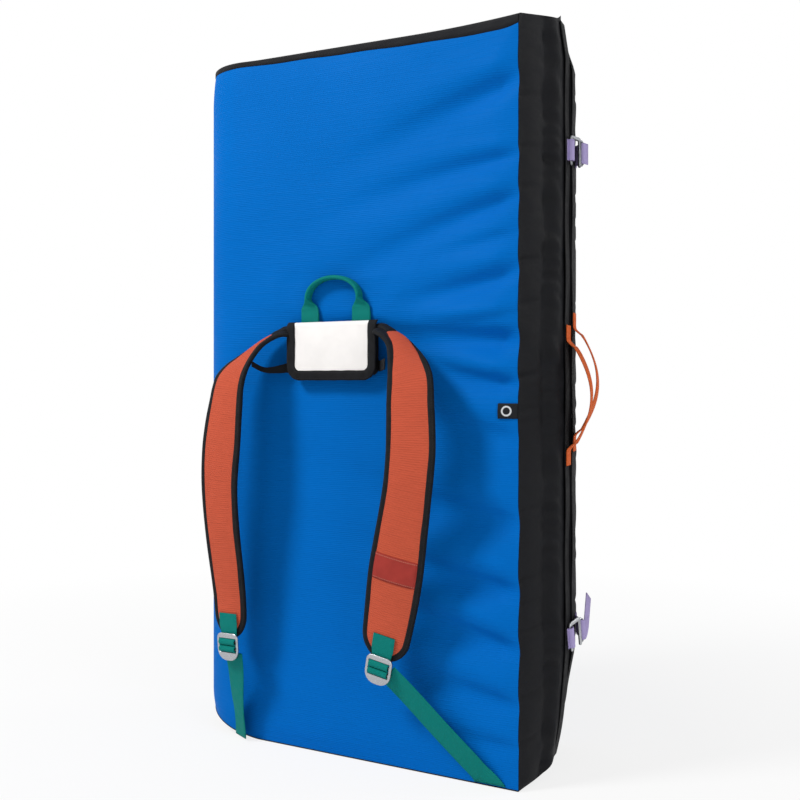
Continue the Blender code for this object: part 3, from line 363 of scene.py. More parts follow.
def grid(name, points, uv, wrap=False, caps=False):
    """A surface through rows of points, with its flat coordinates in metres in its UV map."""
    rows, columns = points.shape[:2]
    index = np.arange(rows * columns).reshape(rows, columns)
    around = np.hstack([index, index[:, :1]]) if wrap else index
    corners = (around[:-1, :-1], around[:-1, 1:], around[1:, 1:], around[1:, :-1])
    faces = np.stack(corners, -1).reshape(-1, 4).tolist()
    if caps:
        faces += [index[0, ::-1].tolist(), index[-1].tolist()]
    mesh = bpy.data.meshes.new(name)
    mesh.from_pydata(points.reshape(-1, 3).tolist(), [], faces)
    loops = np.zeros(len(mesh.loops), np.int32)
    mesh.loops.foreach_get("vertex_index", loops)
    layer = mesh.uv_layers.new(name="Flat")
    layer.data.foreach_set("uv", uv.reshape(-1, 2)[loops].astype(np.float32).ravel())
    mesh.shade_smooth()
    return link(bpy.data.objects.new(name, mesh))


def face_outwards(obj, closed=True):
    """Turns a closed surface outwards, or an open one away from the middle of the pad."""
    mesh = bmesh.new()
    mesh.from_mesh(obj.data)
    bmesh.ops.recalc_face_normals(mesh, faces=mesh.faces[:])
    if not closed:
        middle = Vector((FOLD_X, MIDDLE_Y, TOP / 2))
        outward = sum(f.normal.dot(f.calc_center_median() - middle) * f.calc_area() for f in mesh.faces)
        if outward < 0:
            bmesh.ops.reverse_faces(mesh, faces=mesh.faces[:])
    mesh.to_mesh(obj.data)
    mesh.free()
    return obj


def panel(name, points, *flat):
    """An open surface that faces away from the middle of the pad."""
    return face_outwards(grid(name, points, np.stack(flat, -1)), closed=False)


def smooth(rows, steps):
    """A Catmull-Rom curve through rows of numbers."""
    rows = np.asarray(rows, float)
    last = len(rows) - 1
    made = []
    for i in range(last):
        p0, p1, p2, p3 = (rows[min(max(k, 0), last)] for k in range(i - 1, i + 3))
        for t in np.arange(steps) / steps:
            line = (p2 - p0) * t
            square = (2 * p0 - 5 * p1 + 4 * p2 - p3) * t**2
            cube = (3 * p1 - p0 - 3 * p2 + p3) * t**3
            made.append((2 * p1 + line + square + cube) / 2)
    return np.array(made + [rows[last]])


def lengths(points):
    """The distance along a line of points, at each of them."""
    return np.concatenate([[0], np.cumsum(np.linalg.norm(np.diff(points, axis=0), axis=1))])


def neighbours(points, i):
    """The points before and after one of them, or itself at an end."""
    return points[max(i - 1, 0)], points[min(i + 1, len(points) - 1)]


def unit_rows(rows):
    return rows / np.linalg.norm(rows, axis=1, keepdims=True)


def sweep(name, stations, profile, steps):
    """A closed tube. A station is (centre, across, half width, out, half thickness)."""
    flat = [[*c, *a, w, *o, t] for c, a, w, o, t in stations]
    rows = smooth(flat, steps)
    centre, across, wide = rows[:, 0:3], unit_rows(rows[:, 3:6]), rows[:, 6:7]
    out, thick = unit_rows(rows[:, 7:10]), rows[:, 10:11]
    profile = np.array(profile)
    points = centre[:, None] + across[:, None] * (wide * profile[:, 0])[:, :, None]
    points = points + out[:, None] * (thick * profile[:, 1])[:, :, None]
    along = lengths(centre)
    uv = np.stack([wide * profile[:, 0], np.repeat(along[:, None], len(profile), 1)], -1)
    return face_outwards(grid(name, points, uv, wrap=True, caps=True))


def arc(centre, radius, start, stop, steps):
    """Points round a centre, with the angles in degrees."""
    turns = [math.radians(start + (stop - start) * k / steps) for k in range(steps + 1)]
    return [(centre[0] + radius * math.cos(t), centre[1] + radius * math.sin(t)) for t in turns]


def webbing_stations(points, across, half_width):
    stations = []
    for i, point in enumerate(points):
        before, after = neighbours(points, i)
        out = (after - before).cross(across).normalized()
        stations.append((point, across, half_width, out, WEBBING / 2))
    return stations


def dress(obj, finish, body, *nodes):
    """Gives a piece its material and, where the body is a name, its body, else bakes its place; hides the
    nodes that it stands for.
    """
    material, slot = finish
    obj.data.materials.clear()
    obj.data.materials.append(material)
    if isinstance(body, str):
        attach(obj, body)
    else:
        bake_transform(obj)
    if nodes:
        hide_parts(*nodes)
    return obj


def ribbon(name, stations, steps, finish, body, *nodes):
    """A piece of webbing through its stations, dressed."""
    return dress(sweep(name, stations, WEBBING_PROFILE, steps), finish, body, *nodes)


def shader_node(tree, kind, settings=None, **inputs):
    """A node. Settings are its own values, and inputs are links or values, by number or by name."""
    made = tree.nodes.new(kind)
    for key, value in (settings or {}).items():
        setattr(made, key, value)
    for key, value in inputs.items():
        socket = made.inputs[int(key[1:]) if key[1:].isdigit() else key.replace("_", " ")]
        if isinstance(value, bpy.types.NodeSocket):
            tree.links.new(value, socket)
        else:
            socket.default_value = value
    return made


class Shader:
    """Builds a material: cloth lies on its flat coordinates, and metal in its own space."""

    def __init__(self, name, roughness, metallic=0, specular=0.12):
        self.material = bpy.data.materials.new(name)
        self.material.use_nodes = True
        self.tree = self.material.node_tree
        self.surface = self.tree.nodes["Principled BSDF"]
        self.surface.inputs["Roughness"].default_value = roughness
        self.surface.inputs["Metallic"].default_value = metallic
        self.surface.inputs["Specular IOR Level"].default_value = specular
        if metallic:
            self.at = self.add("ShaderNodeTexCoord").outputs["Object"]
        else:
            self.at = self.add("ShaderNodeUVMap", {"uv_map": "Flat"}).outputs["UV"]

    def add(self, kind, settings=None, **inputs):
        return shader_node(self.tree, kind, settings, **inputs)

    def parts(self):
        """The flat coordinates across and along."""
        made = self.add("ShaderNodeSeparateXYZ", Vector=self.at)
        return made.outputs["X"], made.outputs["Y"]

    def bands(self, pitch, direction, distortion=0.0, detail_scale=1.0):
        """Evenly spaced ridges, a pitch apart in metres."""
        return self.add(
            "ShaderNodeTexWave",
            {"wave_type": "BANDS", "bands_direction": direction},
            Vector=self.at, Scale=math.pi / (10 * pitch), Distortion=distortion, Detail=2.0,
            Detail_Scale=detail_scale,
        ).outputs["Fac"]

    def weave(self, pitch):
        """Threads that cross, a pitch apart in metres."""
        return self.times(self.bands(pitch, "X"), self.bands(pitch, "Y"))

    def noise(self, size, detail=3.0, squeeze=1):
        """Noise whose blotches are about this size in metres, and this many times shorter along."""
        vector = self.at
        if squeeze != 1:
            vector = self.add("ShaderNodeMapping", Vector=vector, Scale=(1, squeeze, 1)).outputs["Vector"]
        return self.add("ShaderNodeTexNoise", Vector=vector, Scale=1 / size, Detail=detail).outputs["Fac"]

    def maths(self, operation, a, b=0.0):
        return self.add("ShaderNodeMath", {"operation": operation}, i0=a, i1=b).outputs[0]

    def times(self, a, b):
        return self.maths("MULTIPLY", a, b)

    def apart(self, a, b):
        return self.maths("ABSOLUTE", self.maths("SUBTRACT", a, b))

    def ramp(self, value, low, high, to_low=0.0, to_high=1.0):
        return self.add("ShaderNodeMapRange", i0=value, i1=low, i2=high, i3=to_low, i4=to_high).outputs[0]

    def mix(self, share, a, b):
        return self.add("ShaderNodeMix", {"data_type": "RGBA"}, i0=share, i6=a, i7=b).outputs[2]

    def tint(self, tone, share, amount, colour):
        """Takes a tone towards a colour, by this amount where the share is full."""
        return self.mix(self.times(share, amount), tone, colour)

    def tones(self, value, low, colour, dark, light):
        """A colour that goes from dark to light as a noise goes from low up."""
        return self.mix(self.ramp(value, low, 0.7), shade(colour, dark), shade(colour, light))

    def done(self, colour, heights, roughness=None):
        """Joins up the colour, the bumps as (height, distance) pairs and the roughness."""
        links = {"Base Color": colour}
        normal = {}
        for height, distance in heights:
            made = self.add("ShaderNodeBump", Height=height, Distance=distance, **normal)
            normal["Normal"] = made.outputs[0]
        if roughness is not None:
            links["Roughness"] = roughness
        for name, value in {**links, **normal}.items():
            self.tree.links.new(value, self.surface.inputs[name])
        return self.material


def shade(colour, share):
    return (*(c * share for c in colour), 1)


def cover_cloth():
    """Coated blue cloth with a fine crosswise rib that comes and goes."""
    colour = (0.0006, 0.139, 0.518)
    s = Shader("blue_cover", 0.55, specular=0.02)
    ribs = s.bands(0.0027, "Y", 0.6, 0.4)
    patches = s.noise(0.16, 4)
    strength = s.ramp(s.noise(0.055, squeeze=14), 0.35, 0.62, 0.15, 1)
    lines = s.times(s.maths("POWER", ribs, 3.0), strength)
    tone = s.tint(shade(colour, 1), lines, 0.22, shade(colour, 1.45))
    tone = s.mix(s.ramp(patches, 0.3, 0.72, 0, 0.30), tone, shade(colour, 0.80))
    tone = s.tint(tone, s.bands(0.0009, "X", 0.4), 0.10, shade(colour, 0.75))
    heights = ((s.times(ribs, strength), 0.00030), (s.noise(0.0016, 2), 0.00012))
    return s.done(tone, heights, s.ramp(patches, 0.3, 0.7, 0.50, 0.62))


def black_cloth():
    """Matt coated cloth with a soft plain weave and fine slack wrinkles."""
    colour = (0.0066, 0.0069, 0.0084)
    s = Shader("black_cloth", 0.62)
    weave = s.weave(0.0008)
    slack = s.noise(0.030, squeeze=1.8)
    tone = s.tint(s.tones(slack, 0.35, colour, 0.85, 1.5), weave, 0.25, shade(colour, 1.8))
    return s.done(tone, ((slack, 0.0016), (weave, 0.00012)), s.ramp(slack, 0.3, 0.7, 0.55, 0.72))


def webbing(name, colour, half_width):
    """Woven webbing: ribs across, a herringbone of fine threads, and a firmer edge on each side."""
    s = Shader(name, 0.72)
    edge = s.ramp(s.maths("ABSOLUTE", s.parts()[0]), half_width * 0.84, half_width * 0.90)
    ribs = s.bands(0.0013, "Y", 0.3, 0.5)
    worn = s.noise(0.012, 4)
    tone = s.tint(shade(colour, 0.62), ribs, 0.55, shade(colour, 1.12))
    tone = s.mix(s.ramp(worn, 0.35, 0.75, 0, 0.28), tone, shade(colour, 0.72))
    tone = s.tint(tone, edge, 0.30, shade(colour, 0.66))
    heights = ((ribs, 0.00035), (s.bands(0.0007, "DIAGONAL"), 0.00010))
    return s.done(tone, heights, s.ramp(worn, 0.3, 0.7, 0.66, 0.80))


def stitched_tape(name, stitch_at):
    """Folded black binding tape with a line of stitches along it."""
    colour = (0.0078, 0.0080, 0.0092)
    s = Shader(name, 0.66)
    across, along = s.parts()
    line = s.ramp(s.apart(s.maths("ABSOLUTE", across), stitch_at), 0.0004, 0.0009, 1, 0)
    stitch = s.times(line, s.ramp(s.maths("PINGPONG", along, 0.0017), 0.0004, 0.0006))
    soft = s.noise(0.010)
    tone = s.tint(s.tones(soft, 0.35, colour, 0.8, 1.35), stitch, 0.6, shade(colour, 2.6))
    sunk = s.maths("SUBTRACT", stitch, line)
    return s.done(tone, ((soft, 0.0008), (s.bands(0.0011, "Y", 0.4), 0.00018), (sunk, 0.0005)))


def strap_cloth():
    """The straps' ribbed cloth: thin dark lines across, of uneven strength."""
    colour = (0.585, 0.098, 0.048)
    s = Shader("terracotta_cloth", 0.74)
    ribs = s.bands(0.0030, "Y", 0.5, 0.4)
    strength = s.ramp(s.noise(0.030, squeeze=9), 0.38, 0.66, 0.15, 1)
    lines = s.times(s.maths("POWER", ribs, 4.0), strength)
    tone = s.tint(shade(colour, 1), lines, 0.55, shade(colour, 0.55))
    tone = s.mix(s.ramp(s.noise(0.05, 4), 0.35, 0.7, 0, 0.25), tone, shade(colour, 0.80))
    return s.done(tone, ((s.times(ribs, -1.0), 0.0003), (s.bands(0.0008, "X", 0.3), 0.00012)))


def flap_cloth():
    """Smooth white coated cloth with a faint weave and the slack of a sewn panel."""
    colour = (0.95, 0.92, 0.895)
    s = Shader("flap_cloth", 0.55)
    weave = s.weave(0.0009)
    soft = s.noise(0.035)
    tone = s.tint(s.tones(soft, 0.3, colour, 0.95, 1.02), weave, 0.10, shade(colour, 0.86))
    return s.done(tone, ((soft, 0.0012), (weave, 0.00010)))


def cast_metal(name, colour):
    """Satin cast alloy with fine scratches and a slightly uneven surface."""
    s = Shader(name, 0.34, metallic=1)
    grain = s.noise(0.0011)
    scratches = s.noise(0.006, 4, squeeze=8)
    polish = s.ramp(scratches, 0.35, 0.65, 0.24, 0.42)
    return s.done(s.tones(grain, 0.3, colour, 0.8, 1.2), ((grain, 0.00008), (scratches, 0.00010)), polish)


def patch_cloth(half_height):
    """The bare woven patch, darker than the strap, with stitches along its upper and lower edges."""
    colour = (0.36, 0.040, 0.030)
    s = Shader("patch_cloth", 0.66)
    across, along = s.parts()
    line = s.ramp(s.apart(s.apart(along, half_height), half_height - 0.0022), 0.0003, 0.0007, 1, 0)
    stitch = s.times(line, s.ramp(s.maths("PINGPONG", across, 0.0013), 0.0003, 0.0005))
    weave = s.weave(0.0007)
    tone = s.tint(s.tones(s.noise(0.02), 0.3, colour, 0.88, 1.12), weave, 0.3, shade(colour, 1.35))
    tone = s.tint(tone, stitch, 0.85, (0.58, 0.20, 0.14, 1))
    return s.done(tone, ((weave, 0.00012), (stitch, 0.0004)))


def label_cloth():
    """A woven black label with a plain pale ring on it."""
    s = Shader("label_cloth", 0.6)
    middle = (LABEL_WIDTH / 2 - 0.0015, LABEL_HEIGHT / 2, 0)
    away = s.add("ShaderNodeVectorMath", {"operation": "DISTANCE"}, i0=s.at, i1=middle).outputs["Value"]
    ring = s.ramp(s.apart(away, 0.0058), 0.0009, 0.0013, 1, 0)
    weave = s.weave(0.0006)
    tone = s.tint((0.008, 0.009, 0.011, 1), weave, 0.4, (0.02, 0.021, 0.025, 1))
    return s.done(s.mix(ring, tone, (0.62, 0.64, 0.66, 1)), ((weave, 0.0001),))


# Each finish is a material and its slot
BLUE = cover_cloth(), "cover_blue"
BLACK = black_cloth(), "cover_black"
YOKE_CLOTH = BLACK[0], "webbing_black"
TERRACOTTA = strap_cloth(), "strap_terracotta"
BINDING_TAPE = stitched_tape("binding_tape", 0.0026), "webbing_black"
FLAP_TAPE = stitched_tape("flap_tape", 0.0044), "webbing_black"
BLACK_WEBBING = webbing("black_webbing", (0.0105, 0.0108, 0.0125), TAPE_WIDTH / 2), "webbing_black"
GREEN = webbing("green_webbing", (0.0012, 0.285, 0.245), HARNESS_WIDTH / 2), "webbing_green"
LILAC = webbing("lilac_webbing", (0.62, 0.52, 0.93), CLOSURE_WIDTH / 2), "webbing_lilac"
ORANGE = webbing("orange_webbing", (1.0, 0.190, 0.045), SIDE_HANDLE_WIDTH / 2), "webbing_orange"
WHITE = flap_cloth(), "flap_white"
# The metals are materials alone
BRIGHT_METAL = cast_metal("bright_metal", (0.44, 0.45, 0.47))
# A darker copy of the same cast metal for the upper hook: its darkness is painted shade
SHADED_METAL = cast_metal("shaded_metal", (0.135, 0.14, 0.15))


def section(way, depth):
    """Where a point of the cover lies in plan."""
    turn = np.clip((way - FLAT) / RADIUS, 0, math.pi)
    radius = RADIUS - depth
    back = np.maximum(way - FLAT - math.pi * RADIUS, 0)
    x = FOLD_X - radius * np.sin(turn) + np.maximum(FLAT - way, 0) + back
    return x, MIDDLE_Y - radius * np.cos(turn)


def from_end(way):
    """The distance along the cover to the nearer open end."""
    return np.minimum(way, ALL_ROUND - way)


def top_seam(way):
    """The height of the seam along the cover's top, which climbs into the open end's corner."""
    near = nearness(from_end(way), CORNER_REACH)
    along = TOP_SEAM_SLOPE * clamp(from_end(way) / FLAT)
    return TOP - TOP_SEAM + along + CORNER_RISE * near**2 + SEAM_WAVE * np.sin(way * 61)


def settle(way, z):
    """How far the pad's lower and upper edges are drawn up towards the fold."""
    near = (from_end(way) - FLAT + FOLD_LEAD) / (FOLD_LEAD + RADIUS * math.pi / 2)
    pull = np.sin(clamp(near) * math.pi / 2) ** 1.5
    low = nearness(z, FOLD_FADE) ** 2
    high = nearness(TOP - z, FOLD_FADE) ** 2
    slope = TOP_SLOPE * clamp(from_end(way) / FLAT)
    return FOLD_LIFT * pull * low + (FOLD_RISE * pull + slope) * high


def waves(way, z):
    """The slow unevenness of stretched cloth."""
    total = 0
    for k, (along, up, lead) in enumerate(((13, 7, 0.3), (-8, 17, 1.9), (23, -11, 4.2), (5, 29, 2.7))):
        total = total + np.sin(along * way + up * z + lead) / (1 + k / 2)
    return SHALLOW_WAVE * total


def face_relief(end, z):
    """How far the face stands out from its even crown, by its wrinkles and hollows."""
    relief = -waves(end, z)
    for start, rise, bend, width, growth, size, reach in WRINKLES:
        line = start + rise * end + bend * end**2
        off = (z - line) / (width + growth * end)
        fade = np.minimum(1, 0.22 + end / 0.035) * np.exp(-((end / reach) ** 2))
        wave = off * np.exp((1 - off**2) / 2)
        relief = relief + size * np.where(wave > 0, RIDGE_SHARE, GROOVE_SHARE) * wave * fade
    for way, height, along, up, size in HOLLOWS:
        away = ((end - way) / along) ** 2 + ((z - height) / up) ** 4
        relief = relief - size * np.exp(-away)
    return relief


def under_harness(way, z):
    """1 where the yoke and the grab handle lie flat on the face, fading to 0 round them."""
    across = np.maximum(np.abs(OPEN_X - way) - HARNESS_HALF_WIDTH, 0)
    up = np.maximum(np.abs(z - HARNESS_Z) - HARNESS_HALF_HEIGHT, 0)
    return smoothstep(1 - np.hypot(across, up) / HARNESS_FADE)


def cover_depth(way, z):
    """How deep the cover lies below its plateau."""
    end = from_end(way)
    edge = np.minimum(z - BOTTOM_SEAM, top_seam(way) - z)
    drop = CROWN * nearness(edge, CROWN_REACH) ** 2
    drop = np.maximum(drop, CROWN * nearness(end, CROWN_REACH) ** 2)
    front = way < ALL_ROUND / 2
    face = face_relief(end, z)
    face = face - np.maximum(face, 0) * under_harness(way, z)
    relief = np.where(front, face, face_relief(end, TOP - z))
    fade = np.minimum(1, edge / 0.02) * smoothstep((FLAT + 0.05 - end) / 0.10)
    return drop - relief * clamp(fade)


def inwards(depth):
    """The share of the way from the cover's edge to the landing side."""
    return clamp((depth - CROWN) / (RADIUS - LANDING - CROWN))


def roll_in(inward):
    """How far the front half's end rolls back towards the middle of the pad."""
    return ROLL_IN * clamp((inward - ROLL_SHARE) / (1 - ROLL_SHARE)) ** 1.6


def drawn_in(front, inward, z):
    """How far the corners of an open end are drawn in along X, and up."""
    low, high = nearness(z, LOW_REACH), nearness(TOP - z, TOP_REACH)
    low_lift = nearness(z, LIFT_REACH) ** 2 * LOW_LIFT
    top_lift = nearness(TOP - z, LIFT_REACH) ** 2 * TOP_LIFT
    bulge = np.sin(math.pi * inward**1.6)
    front_pull = inward**1.5 * (FRONT_LOW_PULL * low**1.3 + FRONT_TOP_PULL * high)
    front_pull = front_pull + roll_in(inward) - FRONT_BULGE * bulge
    back_pull = BACK_LOW_PULL * low + BACK_TOP_PULL * high - BACK_BULGE * bulge
    front_lift = inward * low_lift + (0.3 + 0.7 * inward) * top_lift
    back_lift = (0.4 + 0.6 * inward) * low_lift + BACK_TOP_LIFT / TOP_LIFT * inward * top_lift
    return np.where(front, -front_pull, -back_pull), np.where(front, front_lift, back_lift)


def pad_points(way, depth, z):
    """Points of the pad's cloth, with its slanted ends and its drawn corners."""
    x, y = section(way, depth)
    inward = inwards(depth)
    skew = (INNER_X - OPEN_X) * inward * nearness(from_end(way), SKEW_REACH)
    near = nearness(from_end(way), END_REACH) ** 2
    in_x, lift = drawn_in(way < ALL_ROUND / 2, inward, z)
    return np.stack([x + skew + in_x * near, y, z + settle(way, z) + lift * near], -1)


BENDS = tuple(FLAT + RADIUS * math.pi * k / 4 for k in (1, 2, 3))
SECTORS = tuple(zip((0, *BENDS), (*BENDS, ALL_ROUND)))
CHAIN = ("front_half", "fold_1", "fold_2", "fold_3", "back_half")
SECTOR_NAMES = ("front", "fold_first", "fold_last", "back")


def bend(number, radius):
    """The two bodies and the two ends of a sector's bend, at this radius of the fold."""
    points = []
    for turn in (number * math.pi / 4, (number + 1) * math.pi / 4):
        x, y = FOLD_X - radius * math.sin(turn), MIDDLE_Y - radius * math.cos(turn)
        points.append((x, y, TOP / 2))
    return CHAIN[number], CHAIN[number + 1], points[0], points[1]


def stood_for(number, *pieces):
    """The nodes of these kinds that a sector's piece stands for."""
    halves = {0: ("front_",), 3: ("back_", "fold_3_")}.get(number, (f"fold_{number}_",))
    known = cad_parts
    return [half + piece for half in halves for piece in pieces if half + piece in known]


def ways_of(number):
    start, end = SECTORS[number]
    bends = spread(0, RADIUS * math.pi / 4, STEP)
    if number == 0:
        return np.concatenate([spread(start, FLAT, STEP)[:-1], FLAT + bends])
    if number == 3:
        return np.concatenate([(start + bends)[:-1], spread(end - FLAT, end, STEP)])
    return start + bends


def cover(number):
    """A stretch of the blue cover, tucked under the black edges above and below it."""
    ways = ways_of(number)
    rise = spread(0, 1, STEP / TOP)
    way, share = np.meshgrid(ways, rise, indexing="ij")
    low, high = BOTTOM_SEAM - BOTTOM_ROLL / 2, top_seam(way) + TUCK / 2
    z = low + (high - low) * share
    depth = cover_depth(way, np.clip(z, BOTTOM_SEAM, top_seam(way)))
    beyond = np.maximum(z - top_seam(way), 0)
    points = pad_points(way, depth + beyond, z)
    name = f"{SECTOR_NAMES[number]}_cover"
    made = panel(name, points, way, z)
    nodes = stood_for(number, "ground_panel", "core_foam", "landing_foam", "cover", "foam")
    dress(made, BLUE, bend(number, RADIUS), *nodes)
    return made


def roll(seam, radius):
    """Depth and distance from the pad's end of a gusset's edge, from the face's seam over its roll."""
    edge = CROWN - SEAM_PROUD
    rows = [(edge + 0.0012, seam + 0.0006), (edge, seam - 0.0004), (edge, (seam + radius) / 2)]
    for k in range(7):
        turn = math.pi / 2 * k / 6
        rows.append((edge + radius * (1 - math.cos(turn)), radius * (1 - math.sin(turn))))
    return rows


def gusset(number, at_top):
    """A stretch of the black top or bottom, from its seam on the face to the landing side."""
    seam, radius = (TOP_SEAM, TOP_ROLL) if at_top else (BOTTOM_SEAM, BOTTOM_ROLL)
    rows = roll(seam, radius)
    start = rows[-1][0]
    inner = spread(start, RADIUS - LANDING, 3 * STEP)[1:]
    rows = np.array(rows + [(depth, 0) for depth in inner] + [(RADIUS - LANDING, TUCK)])
    ways = ways_of(number)
    way, depth = np.meshgrid(ways, rows[:, 0], indexing="ij")
    away = np.repeat(rows[None, :, 1], len(ways), 0)
    sag = np.clip(depth - start, 0, None) * np.clip(RADIUS - LANDING - depth, 0, None)
    slack = sag / (RADIUS / 2) ** 2 * (GUSSET_SLACK + GUSSET_WAVE * np.sin(way * 43) * np.sin(depth * 90))
    if at_top:
        shrink = (top_seam(way) - TOP + TOP_SEAM) * clamp(away / seam)
        peak = nearness(from_end(way), EAR_REACH) * ear(way < ALL_ROUND / 2, depth)
        z = TOP - away + shrink - slack + peak * (away == 0)
    else:
        z = away + slack
    points = pad_points(way, depth, z)
    side = "top" if at_top else "bottom"
    across = np.repeat(lengths(rows)[None], len(ways), 0)
    made = panel(f"{SECTOR_NAMES[number]}_{side}_cloth", points, way, across)
    return dress(made, BLACK, bend(number, LANDING), *stood_for(number, f"{side}_gusset"))


def landing_side(number):
    """A stretch of the black cloth on the side that is landed on."""
    way, z = np.meshgrid(ways_of(number), spread(TUCK / 2, TOP - TUCK / 2, 4 * STEP), indexing="ij")
    points = pad_points(way, np.full(way.shape, RADIUS - LANDING), z)
    made = grid(f"{SECTOR_NAMES[number]}_landing_side", points, np.stack([way, z], -1))
    return dress(made, BLACK, bend(number, LANDING), *stood_for(number, "landing_panel"))


def end_relief(share, z, flip):
    """How far the black end stands out: a soft fold down its middle, creases and slack."""
    z = TOP - z if flip else z
    drift = 0.02 * np.sin(z * 7 + 1) + 0.012 * np.sin(z * 19)
    relief = 0.0022 * np.sin(clamp(share / 0.36) * math.pi)
    relief = relief - 0.0052 * np.exp(-(((share - 0.46 - drift) / 0.07) ** 2))
    relief = relief + 0.0020 * np.exp(-(((share - 0.63 - drift) / 0.07) ** 2))
    for height, size in END_CREASES:
        off = (z - height - 0.02 * share) / CREASE_WIDTH
        relief = relief - 1.4 * size * np.exp(-(off**2)) * smoothstep((0.46 - share) / 0.3)
    slack = np.sin(z * 190 + 3 * np.sin(z * 37) + 6 * share) * np.sin(z * 61 + 2 * np.sin(share * 9))
    inner = np.exp(-(((share - 0.54) / 0.13) ** 2))
    inner = inner * (0.35 if flip else 1)
    relief = relief + 0.0022 * slack * inner + 0.0014 * np.sin(z * 90 + 11 * share) * inner
    relief = relief + 0.0007 * np.sin(z * 53 + 5 * np.sin(z * 11)) * np.sin(share * 9)
    edge = np.minimum(share / 0.04, (1 - share) / 0.10) * np.minimum(z, TOP - z) / 0.02
    return relief * clamp(edge)


def end_point(share, side, z):
    """A point of a half's slanted open end, at this share of the way to the landing side."""
    in_x, lift = drawn_in(side == FRONT, share, z)
    depth = CROWN + (RADIUS - LANDING - CROWN) * share
    return OPEN_X + (INNER_X - OPEN_X) * share + in_x, MIDDLE_Y + side * (RADIUS - depth), z + lift


def ear(front, depth):
    """How far the front half's upper inner corner stands up."""
    return np.where(front, EAR * smoothstep((depth - EAR_START) / EAR_SLOPE), 0)


def end_top(share, side):
    """The height of the open end's upper edge, which follows the rolled edge of the top."""
    depth = CROWN + (RADIUS - LANDING - CROWN) * share
    rolled = nearness(depth - CROWN + SEAM_PROUD, TOP_ROLL)
    away = TOP_ROLL * (1 - np.sqrt(1 - rolled**2))
    return TOP - away * (1 - CORNER_RISE / TOP_SEAM) + ear(side == FRONT, depth)


def end_gusset(half, side):
    """The black open end, with the folds that the seam pulls into it."""
    share, rise = np.meshgrid(spread(0, 1, STEP / RADIUS), spread(0, 1, STEP / 1.5 / TOP), indexing="ij")
    z = BOTTOM_ROLL / 2 + (end_top(share, side) - BOTTOM_ROLL / 2) * rise
    relief = end_relief(share, z, side == BACK) + SEAM_PROUD * nearness(share, 0.05)
    way = np.full(z.shape, 0 if side == FRONT else ALL_ROUND)
    seam = CROWN - cover_depth(way, np.clip(z, BOTTOM_SEAM, top_seam(way)))
    x, y, z = end_point(share, side, z)
    x = x + math.cos(SLANT) * relief
    y = y + side * (math.sin(SLANT) * relief + seam * nearness(share, 0.15) ** 2)
    made = panel(f"{half}_end_gusset_cloth", np.stack([x, y, z], -1), share * RADIUS, z)
    return dress(made, BLACK, f"{half}_half", f"{half}_end_gusset")


def edge_tape(half, side):
    """The webbing sewn down the inner edge of an open end, with a soft wave in it."""
    face = face_matrix(side, TAPE_MIDDLE)
    share = end_share(TAPE_MIDDLE)
    usual = end_point(share, side, TOP / 2)[0]
    stations = []
    for z in spread(0.003, TOP - 0.003, 0.02):
        off = TAPE / 2 + CLEARANCE + 0.0006 * math.sin(z * 41 + side)
        x, _, high = end_point(share, side, z)
        centre = face @ Vector((0, off, float(high))) + ACROSS * float(x - usual)
        stations.append((centre, face.col[0].xyz, TAPE_WIDTH / 2, face.col[1].xyz, TAPE / 2))
    ribbon(f"{half}_edge_webbing", stations, 3, BLACK_WEBBING, f"{half}_half", f"{half}_edge_tape")


def pad():
    for number in range(4):
        cover(number)
        gusset(number, True)
        gusset(number, False)
        landing_side(number)
    for half, side in (("front", FRONT), ("back", BACK)):
        end_gusset(half, side)
        edge_tape(half, side)


def label():
    """The small tag in the seam of the open end. It lies on the cover."""
    way, z = np.meshgrid(
        spread(-0.0005, LABEL_WIDTH, 0.002),
        spread(LABEL_Z - LABEL_HEIGHT / 2, LABEL_Z + LABEL_HEIGHT / 2, 0.002),
        indexing="ij",
    )
    depth = cover_depth(np.maximum(way, 0), z) - LABEL - 0.0006 * smoothstep(way / LABEL_WIDTH)
    up = z - LABEL_Z + LABEL_HEIGHT / 2
    made = panel("woven_label", pad_points(way, depth, z), LABEL_WIDTH - way, up)
    made.modifiers.new("thickness", "SOLIDIFY").thickness = LABEL / 2
    dress(made, (label_cloth(), "webbing_black"), "front_half", "side_label")


def on_face(across, offset, up):
    return Vector((across, FACE_Y - offset, up))


